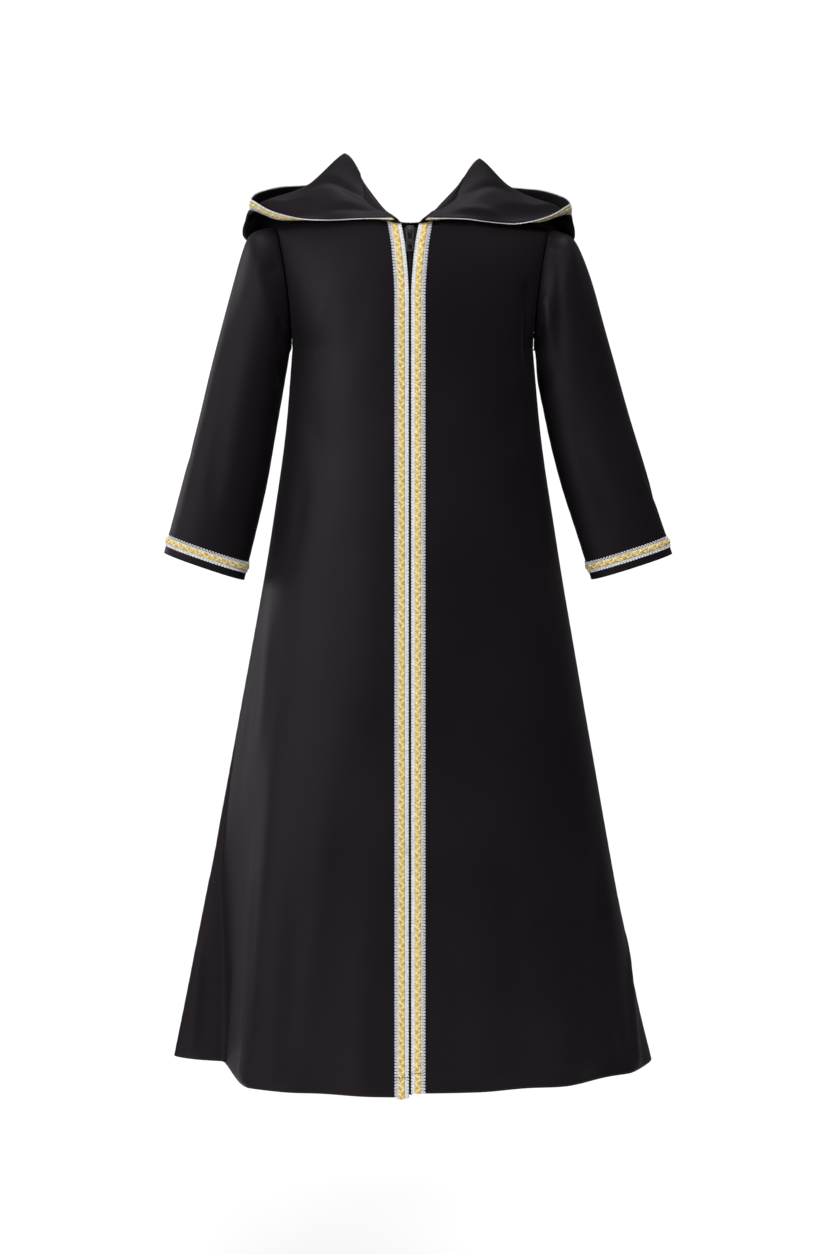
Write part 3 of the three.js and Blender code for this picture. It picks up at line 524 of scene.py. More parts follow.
def press_creases(points, normals, surface, rows):
    """Moves points along their normals by the creases near them."""
    moved = np.zeros(points.shape[:-1])
    for row in table_of(CREASE_COLUMNS, *rows):
        line = crease_line(surface, row)
        nearest = np.full(points.shape[:-1], np.inf)
        place = np.zeros(points.shape[:-1])
        for i in range(len(line) - 1):
            leg = line[i + 1] - line[i]
            t = np.clip(((points - line[i]) @ leg) / (leg @ leg), 0, 1)
            away = np.linalg.norm(points - line[i] - t[..., None] * leg, axis=-1)
            closer = away < nearest
            nearest = np.where(closer, away, nearest)
            place = np.where(closer, (i + t) / (len(line) - 1), place)
        fade = soft_step(place / row["fade_in"]) * soft_step((1 - place) / row["fade_out"])
        moved += row["depth"] * fade * np.exp(-((nearest / row["width"]) ** 2))
    return points - normals * moved[..., None]


def distances_from_edges(grid):
    """Distance of each point from the low and high edge of its row, and of its column."""
    across = np.linalg.norm(np.diff(grid, axis=1), axis=-1)
    along = np.linalg.norm(np.diff(grid, axis=0), axis=-1)
    across = np.concatenate([np.zeros((len(grid), 1)), np.cumsum(across, 1)], 1)
    along = np.concatenate([np.zeros((1, grid.shape[1])), np.cumsum(along, 0)], 0)
    return dict(u0=across, u1=across[:, -1:] - across, v0=along, v1=along[-1:] - along)


def turned_in(away, along):
    """How far a seam pulls the cloth in, with its small uneven puckers."""
    dip = SEAM_DIP * np.exp(-((away / SEAM_DIP_REACH) ** 2))
    drift = PUCKER_DRIFT * np.sin(along / DRIFT_LENGTH)
    wave = 0.5 + 0.5 * np.sin(along / PUCKER_LENGTH * 2 * math.pi + drift)
    return dip + PUCKER * wave * np.exp(-away / PUCKER_REACH)


def rolling(points, size, height, seed):
    """Slow, low unevenness of hanging cloth at each point."""
    flat = points.reshape(-1, 3)
    values = [noise.noise(Vector((p[0] / size, p[1] / size, p[2] / (2 * size) + seed))) for p in flat]
    return np.array(values).reshape(points.shape[:-1]) * height


ROLL = dict(size=46, height=0.9)
CALM_REACH = 22  # breadth along an edge where the unevenness dies away


def flat_grid(columns, rows):
    """A bmesh grid with its UV map, and the places of its vertices from 0 to 1."""
    bm = bmesh.new()
    bm.loops.layers.uv.new("UVMap")
    bmesh.ops.create_grid(bm, x_segments=columns, y_segments=rows, size=0.5, calc_uvs=True)
    flat = np.array([vert.co[:2] for vert in bm.verts])
    return bm, (flat - flat.min(0)) / np.ptp(flat, 0)


def cloth_grid(u_lines, v_lines, surface, facing, wrap):
    """A grid of faces mapped onto a surface: the bmesh, its vertices in rows and their points."""
    columns, rows = len(u_lines) - 1, len(v_lines) - 1
    bm, flat = flat_grid(columns, rows)
    place =np.rint(flat * [columns, rows]).astype(int)
    order = np.lexsort((place[:, 0], place[:, 1]))
    u, v = np.meshgrid(u_lines, v_lines)
    grid = surface(u.ravel(), v.ravel()).reshape(rows + 1, columns + 1, 3)
    if facing < 0:
        bmesh.ops.reverse_faces(bm, faces=bm.faces)
    return bm, order, grid, normals_of(grid, wrap) * facing


def finish_mesh(bm, name, smooth=True):
    mesh = bpy.data.meshes.new(name)
    for face in bm.faces:
        face.smooth = smooth
    bm.to_mesh(mesh)
    bm.free()
    return mesh


def new_piece(name, mesh, materials, body=GARMENT):
    """Makes an object of a mesh, with its materials, and lets it ride on a body."""
    piece = bpy.data.objects.new(name, mesh)
    bpy.context.scene.collection.objects.link(piece)
    for material in materials:
        mesh.materials.append(material)
    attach(piece, body)
    return piece


def lay_out(bm, order, grid, weights):
    """Puts the vertices in place, with their share of the thickest wall."""
    bm.verts.ensure_lookup_table()
    share = bm.verts.layers.deform.verify()
    for index, point, weight in zip(order, grid.reshape(-1, 3) * MM, weights.ravel()):
        bm.verts[index].co = point
        bm.verts[index][share][0] = weight


def measured_uv(mesh, edges):
    """Makes the pattern's coordinates real metres of cloth, from the edges of the piece."""
    layer = mesh.uv_layers["UVMap"].data
    uv = np.zeros(len(layer) * 2, np.float32)
    layer.foreach_get("uv", uv)
    rows, columns = edges["u0"].shape
    place = np.rint(uv.reshape(-1, 2) * [columns - 1, rows - 1]).astype(int)
    measured = np.stack([edges[key][place[:, 1], place[:, 0]] * MM for key in ("u0", "v0")], -1)
    layer.foreach_set("uv", measured.astype(np.float32).ravel())


class Strip:
    """A long narrow band of a finished piece of cloth, measured in millimetres.
    Flat trimming has x across the strip, y along it and z out of the cloth."""

    def __init__(self, lines, width, facing):
        self.lines = lines
        self.width = width
        self.facing = facing
        middle = lines[:, lines.shape[1] // 2]
        steps = np.linalg.norm(np.diff(middle, axis=0), axis=-1)
        self.along = np.concatenate([[0], np.cumsum(steps)])
        self.length = self.along[-1]
        self.normals = normals_of(lines, wrap=False) * facing

    def lay(self, flat):
        """Places of flat points (across, along, height) on the strip, which runs on
        straight past its ends."""
        across, along, height = flat.T
        i = np.clip(np.searchsorted(self.along, along) - 1, 0, len(self.along) - 2)
        f = ((along - self.along[i]) / (self.along[i + 1] - self.along[i]))[:, None]
        count = self.lines.shape[1] - 1
        at = across / self.width * count
        j = np.clip(np.floor(at).astype(int), 0, count - 1)
        g = (at - j)[:, None]

        def between(table):
            low = mix(table[i, j], table[i, j + 1], g)
            high = mix(table[i + 1, j], table[i + 1, j + 1], g)
            return mix(low, high, f)

        return between(self.lines) + between(self.normals) * height[:, None]


class Cloth:
    """A finished piece of cloth: its object, its outer face and the way that it faces."""

    def __init__(self, piece, grid, facing):
        self.piece = piece
        self.grid = grid
        self.facing = facing
        self.edges = distances_from_edges(grid)

    def band(self, edge, start, width, keep=None, narrowed=None, count=6):
        """The strip along an edge that starts at a distance from it. keep says which
        lines it takes, narrowed gives the share of the width at each line."""
        grid, away, facing = self.grid, self.edges[edge], self.facing
        if edge[0] == "v":
            grid, away = grid.transpose(1, 0, 2), away.T
        if edge[1] == "1":
            grid, away = grid[:, ::-1], away[:, ::-1]
        if edge in ("u1", "v0"):
            facing = -facing
        share = np.ones(len(grid)) if narrowed is None else narrowed
        if keep is not None:
            grid, away, share = grid[keep], away[keep], share[keep]
        lines = []
        for line, distance, part in zip(grid, away, share):
            at = start + np.linspace(0, width * part, count)
            lines.append(np.stack([np.interp(at, distance, line[:, axis]) for axis in range(3)], -1))
        return Strip(np.array(lines), width, facing)


# The darker dull inner wall is painted shade where it lines the back of the hood.
SATIN_BEHIND, DULL_AND_SHADE_BEHIND = 0, 2  # a face's finish; its inner wall takes the one after it
TUBE_MERGE = 0.05


def cloth_piece(
    name, node, u_lines, v_lines, surface, facing, creases, seams, turn_up=None, wrap=False, dull_and_shade_from=0
):
    """A panel, sleeve or hood half: a thin shell with its creases and seams. Its inner
    side is the darker dull side of the cloth, from a place across it on; on a hood half it lies only over
    the back, as painted shade."""
    bm, order, grid, normals = cloth_grid(u_lines, v_lines, surface, facing, wrap)
    edges = distances_from_edges(grid)
    crease_surface, rows = creases
    grid = press_creases(grid, normals, crease_surface, rows)
    inset = np.zeros(grid.shape[:2])
    for edge in seams:
        along = edges["v0"] if edge[0] == "u" else edges["u0"]
        inset = np.maximum(inset, turned_in(edges[edge], along))
    calm = np.ones(grid.shape[:2])
    for edge in ("u0", "u1", "v0", "v1"):
        if not (wrap and edge[0] == "u"):
            calm = calm * soft_step(edges[edge] / CALM_REACH)
    rolled = rolling(grid, seed=0, **ROLL) * calm
    grid = grid - normals * (inset + rolled)[..., None]
    weights = np.full(grid.shape[:2], CLOTH / HEM_CLOTH)
    if turn_up is not None:
        weights[edges[turn_up] < HEM_TURN_UP] = 1
    lay_out(bm, order, grid, weights)
    if wrap:
        bmesh.ops.remove_doubles(bm, verts=bm.verts, dist=TUBE_MERGE * MM)
    mesh = finish_mesh(bm, name)
    first_dull_and_shade = np.searchsorted(u_lines, dull_and_shade_from)
    for face in mesh.polygons:
        corner = mesh.uv_layers["UVMap"].data[face.loop_start]
        column = corner.uv[0] * (len(u_lines) - 1)
        face.material_index = DULL_AND_SHADE_BEHIND if column >= first_dull_and_shade else SATIN_BEHIND
    measured_uv(mesh, edges)
    piece = new_piece(name, mesh, [robe_cloth, robe_cloth, robe_cloth, cloth_inside])
    piece.vertex_groups.new(name="thickness")
    wall = piece.modifiers.new("wall", "SOLIDIFY")
    wall.thickness = HEM_CLOTH * MM
    wall.offset = -1
    wall.vertex_group = "thickness"
    wall.material_offset = 1
    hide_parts(node)
    return Cloth(piece, grid, facing)


# ---- finishes -------------------------------------------------------------
class Sum:
    """A number in a shader, so that shader maths reads as plain sums."""

    def __init__(self, finish, socket):
        self.finish = finish
        self.socket = socket

    def step(self, operation, *terms):
        node = self.finish.node("ShaderNodeMath", dict(operation=operation), dict(enumerate(terms)))
        return node[0]

    def __add__(self, other):
        return self.step("ADD", self, other)

    def __radd__(self, other):
        return self.step("ADD", other, self)

    def __sub__(self, other):
        return self.step("SUBTRACT", self, other)

    def __rsub__(self, other):
        return self.step("SUBTRACT", other, self)

    def __mul__(self, other):
        return self.step("MULTIPLY", self, other)

    def __rmul__(self, other):
        return self.step("MULTIPLY", other, self)

    def sine(self):
        return self.step("SINE", self)


class Outputs:
    """The outputs of one node, by name or place."""

    def __init__(self, finish, node):
        self.finish = finish
        self.node = node

    def __getitem__(self, key):
        return Sum(self.finish, self.node.outputs[key])


class Finish:
    """One material, built node by node round a Principled shader."""

    def __init__(self, name, **settings):
        self.material = bpy.data.materials.new(name)
        self.material.use_nodes = True
        self.tree = self.material.node_tree
        self.shader = self.tree.nodes["Principled BSDF"]
        for socket, value in settings.items():
            self.shader.inputs[socket.replace("_", " ")].default_value = value

    def node(self, kind, settings=None, inputs=None):
        node = self.tree.nodes.new(kind)
        for key, value in (settings or {}).items():
            if key == "stops":
                self.set_stops(node.color_ramp, value)
            else:
                setattr(node, key, value)
        for key, value in (inputs or {}).items():
            self.feed(node.inputs[key], value)
        return Outputs(self, node)

    def feed(self, socket, value):
        if isinstance(value, Sum):
            self.tree.links.new(value.socket, socket)
        else:
            socket.default_value = value

    def set_stops(self, ramp, stops):
        while len(ramp.elements) < len(stops):
            ramp.elements.new(0.5)
        for element, (place, colour) in zip(ramp.elements, stops):
            element.position = place
            element.color = (*colour, 1)

    def place(self, kind="UV"):
        """The pattern's coordinates: UV in metres of cloth, or Object."""
        return self.node("ShaderNodeTexCoord")[kind]

    def parts(self, vector):
        split = self.node("ShaderNodeSeparateXYZ", inputs={0: vector})
        return split[0], split[1], split[2]

    def speckle(self, vector, scale, detail=2.0):
        inputs = {"Vector": vector, "Scale": scale, "Detail": detail}
        return self.node("ShaderNodeTexNoise", inputs=inputs)["Fac"]

    def colours(self, amount, stops):
        ramp = self.node("ShaderNodeValToRGB", dict(stops=stops), {0: amount})
        self.feed(self.shader.inputs["Base Color"], ramp[0])

    def roughness(self, amount):
        self.feed(self.shader.inputs["Roughness"], amount)

    def relief(self, height, distance, strength):
        inputs = {"Height": height, "Distance": distance, "Strength": strength}
        self.feed(self.shader.inputs["Normal"], self.node("ShaderNodeBump", inputs=inputs)[0])


# Metres from one line of a pattern to the next, and speckles to the metre.
TWILL, FIBRE, TAPE_ROW = 0.0008, 0.0006, 0.0012
CREPE_GRAIN, SHEEN_DRIFT, YARN_TONE_AND_GLINT = 900.0, 7.0, 420.0


def crepe(name, tones, gloss, sheen):
    """Black satin crepe: a fine twill line, a crepe grain and slow changes of sheen."""
    finish = Finish(name, Specular_IOR_Level=0.14, Sheen_Weight=sheen, Sheen_Roughness=0.35)
    finish.shader.inputs["Sheen Tint"].default_value = (0.62, 0.54, 0.62, 1)
    finish.shader.inputs["Specular Tint"].default_value = (1, 0.84, 1, 1)
    cloth = finish.place("UV")
    u, v, _ = finish.parts(cloth)
    twill = ((u + v) * (2 * math.pi / TWILL)).sine()
    grain = finish.speckle(cloth, CREPE_GRAIN)
    drift = finish.speckle(finish.place("Object"), SHEEN_DRIFT, 3.0)
    finish.colours(drift + (grain - 0.5) * 0.25, [(0.25, tones[0]), (0.75, tones[1])])
    finish.roughness(gloss + (drift - 0.5) * 0.16 + (grain - 0.5) * 0.1)
    finish.relief(twill * 0.35 + grain * 0.8, 0.00007, 0.5)
    return finish.material


def thread(name, stops, gloss, metallic, sheen=0.0):
    """Shiny trimming yarn: fine wound fibres, uneven in tone along its length; the speckles are random tone
    in part and in part painted glints and painted shade.
    """
    finish = Finish(name, Metallic=metallic, Sheen_Weight=sheen, Specular_IOR_Level=0.5)
    place = finish.place("Object")
    x, _, z = finish.parts(place)
    tone = finish.speckle(place, YARN_TONE_AND_GLINT, 3.0)
    fibre = ((x * 0.7 + z) * (2 * math.pi / FIBRE) + tone * 7.0).sine()
    # The speckled tone lightens and darkens the yarn: partly random tone, partly painted glints and painted
    # shade.
    finish.colours(tone + fibre * 0.09, stops)
    finish.roughness(gloss + (tone - 0.5) * 0.2)
    finish.relief(fibre, 0.00007, 0.8)
    return finish.material


def woven_tape(name):
    finish = Finish(name, Specular_IOR_Level=0.3, Sheen_Weight=0.1)
    x, _, z = finish.parts(finish.place("Object"))
    rows = ((x + z) * (2 * math.pi / TAPE_ROW)).sine()
    finish.colours(rows * 0.5 + 0.5, [(0.0, (0.006, 0.006, 0.007)), (1.0, (0.02, 0.019, 0.021))])
    finish.roughness(0.75 + rows * 0.05)
    finish.relief(rows, 0.0001, 0.7)
    return finish.material


def enamel(name):
    """Black enamelled metal, a little worn; its colour is lifted to a dark grey as a painted highlight."""
    finish = Finish(name, Metallic=0.6, Specular_IOR_Level=0.5, Coat_Weight=0.3)
    wear = finish.speckle(finish.place("Object"), 500.0, 4.0)
    # Both colours sit above the enamel's own black: painted highlight in place of the front lamp's gloss.
    finish.colours(wear, [(0.35, (0.035, 0.035, 0.038)), (0.75, (0.085, 0.085, 0.09))])
    finish.roughness(0.34 + (wear - 0.5) * 0.3)
    finish.relief(wear, 0.00004, 0.3)
    return finish.material


def nylon(name):
    finish = Finish(name, Specular_IOR_Level=0.5)
    tone = finish.speckle(finish.place("Object"), 300.0)
    finish.colours(tone, [(0.3, (0.008, 0.008, 0.009)), (0.7, (0.02, 0.02, 0.022))])
    finish.roughness(0.4 + (tone - 0.5) * 0.1)
    return finish.material


robe_cloth = crepe("robe_cloth", [(0.0062, 0.0050, 0.0062), (0.0092, 0.0074, 0.0092)], 0.5, 0.035)
# The dull back of the cloth, darker than its face; inside the hood's back this darkness is painted shade.
cloth_inside = crepe("cloth_inside", [(0.003, 0.0028, 0.003), (0.0045, 0.004, 0.0045)], 0.8, 0.02)
silver_yarn = thread("silver_yarn", [(0.3, (0.66, 0.67, 0.70)), (0.62, (0.90, 0.90, 0.92))], 0.42, 0.0, 0.15)
ground_yarn = thread("ground_yarn", [(0.3, (0.50, 0.50, 0.53)), (0.7, (0.72, 0.71, 0.72))], 0.55, 0.0, 0.1)
gold_yarn = thread("gold_yarn", [(0.3, (0.62, 0.36, 0.02)), (0.65, (0.93, 0.66, 0.08))], 0.36, 0.3)
pale_gold_yarn = thread("pale_gold_yarn", [(0.3, (0.78, 0.50, 0.05)), (0.65, (0.96, 0.77, 0.24))], 0.4, 0.2)
# The cream strand is a pale copy of the gold yarn: painted highlight on the plait.
gold_highlight_yarn = thread("gold_highlight_yarn", [(0.3, (0.88, 0.70, 0.26)), (0.65, (0.98, 0.91, 0.64))], 0.42, 0.1)
black_yarn = thread("black_yarn", [(0.3, (0.004, 0.004, 0.004)), (0.7, (0.008, 0.0075, 0.008))], 0.75, 0.0)
zip_tape = woven_tape("zip_tape")
zip_metal = enamel("zip_metal")
zip_nylon = nylon("zip_nylon")
BRAID_YARNS = [silver_yarn, gold_yarn, pale_gold_yarn, ground_yarn, gold_highlight_yarn]
SILVER, GOLD, PALE_GOLD, GROUND, GOLD_HIGHLIGHT = range(5)


# ---- trimming, made flat and then laid on a strip of cloth ----------------
def flat_mesh(bm, material=0):
    """Ends a flat template and gives it its yarn."""
    bmesh.ops.recalc_face_normals(bm, faces=bm.faces)
    for face in bm.faces:
        face.material_index = material
    return finish_mesh(bm, "flat")


RING_MERGE = 0.002


def mapped_grid(columns, rows, place, closed=False):
    """A bmesh grid whose vertices are moved by place(u, v). A closed one is joined
    where its edges meet, and its ends are filled."""
    bm, flat = flat_grid(columns, rows)
    for vert, point in zip(bm.verts, place(flat[:, 0], flat[:, 1])):
        vert.co = point
    if closed:
        bmesh.ops.remove_doubles(bm, verts=bm.verts, dist=RING_MERGE)
        bmesh.ops.holes_fill(bm, edges=[edge for edge in bm.edges if edge.is_boundary], sides=0)
    return bm


def cord_mesh(length, steps, sides, route, wide, high, material):
    """A flat cord whose middle follows route(y) -> (x, z)."""

    def place(u, v):
        y = v * length
        small = length / steps / 4
        x, z = route(y)
        x2, z2 = route(y + small)
        forward = np.stack([x2 - x, np.full_like(y, small), z2 - z], -1)
        forward /= np.linalg.norm(forward, axis=-1, keepdims=True)
        side = np.cross(forward, [0, 0, 1])
        side /= np.linalg.norm(side, axis=-1, keepdims=True)
        up = np.cross(side, forward)
        turn = u * 2 * math.pi
        ring = side * (wide * np.cos(turn))[:, None] + up * (high * np.sin(turn))[:, None]
        return np.stack([x, y, z], -1) + ring

    return flat_mesh(mapped_grid(sides, steps, place, closed=True), material)


def loop_mesh(middle, half_x, half_y, yarn, height, material):
    """One picot: a ring of yarn that lies on the cloth."""

    def place(u, v):
        turn, round_it = u * 2 * math.pi, v * 2 * math.pi
        out = yarn * np.cos(round_it)
        x = middle + (half_x + out) * np.cos(turn)
        y = (half_y + out) * np.sin(turn)
        return np.stack([x, y, height + 0.8 * yarn * np.sin(round_it)], -1)

    return flat_mesh(mapped_grid(10, 4, place, closed=True), material)


def pad_mesh(middle, half, height, material, segments=(6, 4)):
    """One small rounded bead or rib of yarn."""
    bm = bmesh.new()
    bm.loops.layers.uv.new("UVMap")
    bmesh.ops.create_uvsphere(bm, u_segments=segments[0], v_segments=segments[1], radius=1, calc_uvs=True)
    bmesh.ops.scale(bm, vec=half, verts=bm.verts)
    bmesh.ops.translate(bm, vec=(middle, 0, height), verts=bm.verts)
    return flat_mesh(bm, material)


def repeated(mesh, count, pitch, start):
    """The template repeated along the strip by an array."""
    holder = bpy.data.objects.new("holder", mesh)
    bpy.context.scene.collection.objects.link(holder)
    array = holder.modifiers.new("repeat", "ARRAY")
    array.use_relative_offset = False
    array.use_constant_offset = True
    array.constant_offset_displace = (0, pitch, 0)
    array.count = count
    seen = holder.evaluated_get(bpy.context.evaluated_depsgraph_get())
    made = bpy.data.meshes.new_from_object(seen)
    bpy.data.objects.remove(holder)
    made.transform(Matrix.Translation((0, start, 0)))
    return made


def laid_piece(name, flats, strip, materials, body=GARMENT):
    """Joins flat meshes and lays them on a strip as one piece."""
    bm = bmesh.new()
    for mesh in flats:
        bm.from_mesh(mesh)
    mesh = bpy.data.meshes.new(name)
    bm.to_mesh(mesh)
    bm.free()
    flat = np.zeros(len(mesh.vertices) * 3, np.float32)
    mesh.vertices.foreach_get("co", flat)
    placed = strip.lay(flat.reshape(-1, 3).astype(float)) * MM
    mesh.vertices.foreach_set("co", placed.astype(np.float32).ravel())
    if strip.facing < 0:
        mesh.flip_normals()
    mesh.update()
    return new_piece(name, mesh, materials, body)


FULL_BRAID = 14.6  # width that these sizes of its parts belong to
PLAIT_LENGTH = 9.3  # length in which a strand of the plait comes back
PLAIT_MIDDLE, PLAIT_SWING, PLAIT_RISE = 7.1, 1.85, 0.42
STRAND_WIDE, STRAND_HIGH = 1.12, 0.5
PLAIT_HEIGHT = 1.05
GLINT_HALF, GLINT_ASIDE, GLINT_ABOVE = 0.26, 0.35, 0.36  # a fine pale thread on each strand: a painted glint
GROUND_SPAN, GROUND_HEIGHT, GROUND_THICK = (0.9, 11.3), 0.2, 0.4
LOOP_MIDDLE, LOOP_HALF_X, LOOP_YARN = 12.2, 2.0, 0.58
LOOP_GAP = 1.28  # room between two loops, as a share of the yarn
EDGE_CORDS, EDGE_HALF, EDGE_HEIGHT, EDGE_WAVE = (4.55, 9.75), (0.32, 0.3), 0.72, 0.12
LYING = 0.62  # height of the middle of loops, beads and ribs
# Beads and ribs: middle, half breadth, half length as a share of the unit, half height.
BEAD = (0.95, 0.95, 0.46, 0.5)
RIB = (2.95, 1.5, 0.27, 0.34)


def braid_parts(length, width):
    """All yarns of one braid, flat: silver loops, ribs and beads beside a gold plait."""
    k = width / FULL_BRAID
    turns = max(1, round(length / PLAIT_LENGTH))
    plait = length / turns
    unit = plait / 3
    parts = []
    # The third strand is the pale copy of the gold: painted highlight.
    for strand, material in enumerate((GOLD, PALE_GOLD, GOLD_HIGHLIGHT)):

        def route(y, phase=strand * 2 * math.pi / 3):
            turn = 2 * math.pi * y / plait + phase
            height = PLAIT_HEIGHT + PLAIT_RISE * np.sin(2 * turn)
            return k * (PLAIT_MIDDLE + PLAIT_SWING * np.sin(turn)), height

        def glint(y, phase=strand * 2 * math.pi / 3):
            x, z = route(y, phase)
            return x + GLINT_ASIDE * k, z + GLINT_ABOVE

        parts.append(cord_mesh(length, turns * 12, 6, route, STRAND_WIDE * k, STRAND_HIGH, material))
        # Pale cords along the strands: painted glints on the plait.
        glint_yarn = (GOLD, SILVER, SILVER)[strand]
        parts.append(cord_mesh(length, turns * 12, 4, glint, GLINT_HALF * k, GLINT_HALF, glint_yarn))
    for middle in EDGE_CORDS:

        def edge(y, middle=middle):
            return k * middle + EDGE_WAVE * np.sin(2 * math.pi * y / unit), np.full_like(y, EDGE_HEIGHT)

        parts.append(cord_mesh(length, turns * 7, 4, edge, *EDGE_HALF, PALE_GOLD))

    def ground_place(u, v):
        return np.stack([k * mix(*GROUND_SPAN, u), v * length, np.full_like(u, GROUND_HEIGHT)], -1)

    ground = mapped_grid(5, turns * 3, ground_place)
    bmesh.ops.solidify(ground, geom=ground.faces, thickness=GROUND_THICK)
    bmesh.ops.translate(ground, vec=(0, 0, GROUND_THICK), verts=ground.verts)
    parts.append(flat_mesh(ground, GROUND))
    yarn = LOOP_YARN * k
    loop = loop_mesh(k * LOOP_MIDDLE, LOOP_HALF_X * k, unit / 2 - yarn * LOOP_GAP, yarn, LYING, SILVER)
    parts.append(repeated(loop, turns * 3, unit, unit / 2))
    for row, in_a_unit, segments in ((BEAD, 1, (8, 6)), (RIB, 2, (6, 4))):
        middle, half_x, half_y, half_z = row
        pad = pad_mesh(k * middle, (half_x * k, unit * half_y, half_z), LYING, SILVER, segments)
        parts.append(repeated(pad, turns * 3 * in_a_unit, unit / in_a_unit, unit / 2 / in_a_unit))
    return parts


def sew_braid(name, node, strip, start=0.0, over_edge=0.0, past_end=0.0):
    """Lays a braid on a strip of cloth, from before its start to past its end and over
    its first edge."""
    parts = braid_parts(strip.length - start + past_end, strip.width)
    for mesh in parts:
        mesh.transform(Matrix.Translation((-over_edge, start, 0)))
    piece = laid_piece(name, parts, strip, BRAID_YARNS)
    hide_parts(node)
    return piece


HEM_STITCH = dict(half=(0.24, 1.15, 0.17), pitch=2.9, height=0.05, slot="robe_cloth")
BRAID_STITCH = dict(half=(0.42, 1.15, 0.3), pitch=2.7, height=1.75, slot="braid")


def sew_stitches(name, strip, stitch, first, last):
    """A line of short black stitches along a narrow strip, between two places on it."""
    pitch = stitch["pitch"]
    pad = pad_mesh(strip.width / 2, stitch["half"], stitch["height"], 0)
    row = repeated(pad, int((last - first) / pitch), pitch, first + pitch / 2)
    piece = laid_piece(name, [row], strip, [black_yarn])
    return piece


# ---- the robe -------------------------------------------------------------
# Rough sizes, by which the fine columns and rows beside the seams are spaced.
BODY_LENGTH, FRONT_BREADTH, BACK_BREADTH = 880, 220, 460
SLEEVE_LENGTH, HOOD_ROUND, HOOD_HEIGHT = 360, 330, 150
body_rows = spaced(200, BODY_LENGTH, 2, 3)
hood_columns = spaced(90, HOOD_ROUND, 0, 3)
creases = {face: (partial(body_point, face), rows) for face, rows in BODY_CREASES.items()}
cloths = {}
for side in SIDES:
    cloths[f"front_{side}"] = cloth_piece(
        f"cloth_front_{side}", f"front_{side}", spaced(70, FRONT_BREADTH, 0, 3), body_rows,
        partial(panel_point, "front", side), SIGN[side], creases["front"], ["u1", "v1"], "v0",
    )
cloths["back"] = cloth_piece(
    "cloth_back", "back", spaced(130, BACK_BREADTH, 3, 3), body_rows, back_point, -1,
    creases["back"], ["u0", "u1", "v1"], "v0",
)
for side in SIDES:
    surface = partial(sleeve_point, side)
    cloths[f"sleeve_{side}"] = cloth_piece(
        f"cloth_sleeve_{side}", f"sleeve_{side}", spaced(96, 1), spaced(130, SLEEVE_LENGTH, 3, 1), surface,
        -SIGN[side], (surface, SLEEVE_CREASES[side]), ["u0", "u1", "v0"], "v1", wrap=True,
    )
# From 0.6 of the way round, the hood's inner wall takes the darker cloth: painted shade in the hood's back.
for side in SIDES:
    surface = partial(hood_point, side)
    cloths[f"hood_{side}"] = cloth_piece(
        f"cloth_hood_{side}", f"hood_{side}", hood_columns, spaced(100, HOOD_HEIGHT, 3, 1),
        surface, SIGN[side], (surface, HOOD_CREASES[side]), ["v0", "u1"], dull_and_shade_from=0.6,
    )

# ---- braids and stitches --------------------------------------------------
BRAID_PAST_HEM = {"right": 1.5, "left": 0.0}
BRAID_PAST_NECK = 3.5
STITCH_LINE = 1.0
STITCH_ROOM = 1  # bare cloth beside a braid, and above the turn-up of a cuff
RIM_INSET, OVER_RIM = 0.3, 1.5
# The hood's braid narrows towards the zip: least share of its width, and over how much.
LEAST_BRAID, NARROWING = 0.3, 0.15
for side in SIDES:
    front = cloths[f"front_{side}"]
    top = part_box(f"braid_front_{side}")[1][2] / MM
    rows = front.grid[:, 0, 2] <= top
    strip = front.band("u0", 0, BRAID_WIDTH["front"], keep=rows)
    hem = front.band("v0", HEM_TURN_UP, STITCH_LINE, count=2)
    beside, past_hem = BRAID_WIDTH["front"] + STITCH_ROOM, -BRAID_PAST_HEM[side]
    sew_braid(f"trim_front_{side}", f"braid_front_{side}", strip, past_hem, past_end=BRAID_PAST_NECK)
    sew_stitches(f"hem_stitches_{side}", hem, HEM_STITCH, beside, hem.length)
    sew_stitches(f"braid_end_stitches_{side}", hem, BRAID_STITCH, 0, BRAID_WIDTH["front"])

    sleeve = cloths[f"sleeve_{side}"]
    strip = sleeve.band("v1", BRAID_ABOVE_CUFF, BRAID_WIDTH["cuff"])
    hem = sleeve.band("v1", HEM_TURN_UP + STITCH_ROOM, STITCH_LINE, count=2)
    sew_braid(f"trim_cuff_{side}", f"braid_cuff_{side}", strip)
    sew_stitches(f"cuff_stitches_{side}", hem, HEM_STITCH, 0, hem.length)

    hood = cloths[f"hood_{side}"]
    share = np.clip(LEAST_BRAID + hood_columns / NARROWING, LEAST_BRAID, 1)
    strip = hood.band("v1", RIM_INSET, BRAID_WIDTH["hood"] - RIM_INSET, narrowed=share)
    sew_braid(f"trim_hood_{side}", f"braid_hood_{side}", strip, over_edge=OVER_RIM)

hem = cloths["back"].band("v0", HEM_TURN_UP, STITCH_LINE, count=2)
sew_stitches("hem_stitches_back", hem, HEM_STITCH, 0, hem.length)

# ---- zip ------------------------------------------------------------------
TOOTH = dict(half=(1.3, 0.5, 0.55), reach=1.05, pitch=1.6, first=0.4)
CHAIN_WIDTH, CHAIN_ROWS = 4.8, 180
CORE = dict(half_width=2.2, thick=0.5, behind=0.35, below=4.5)


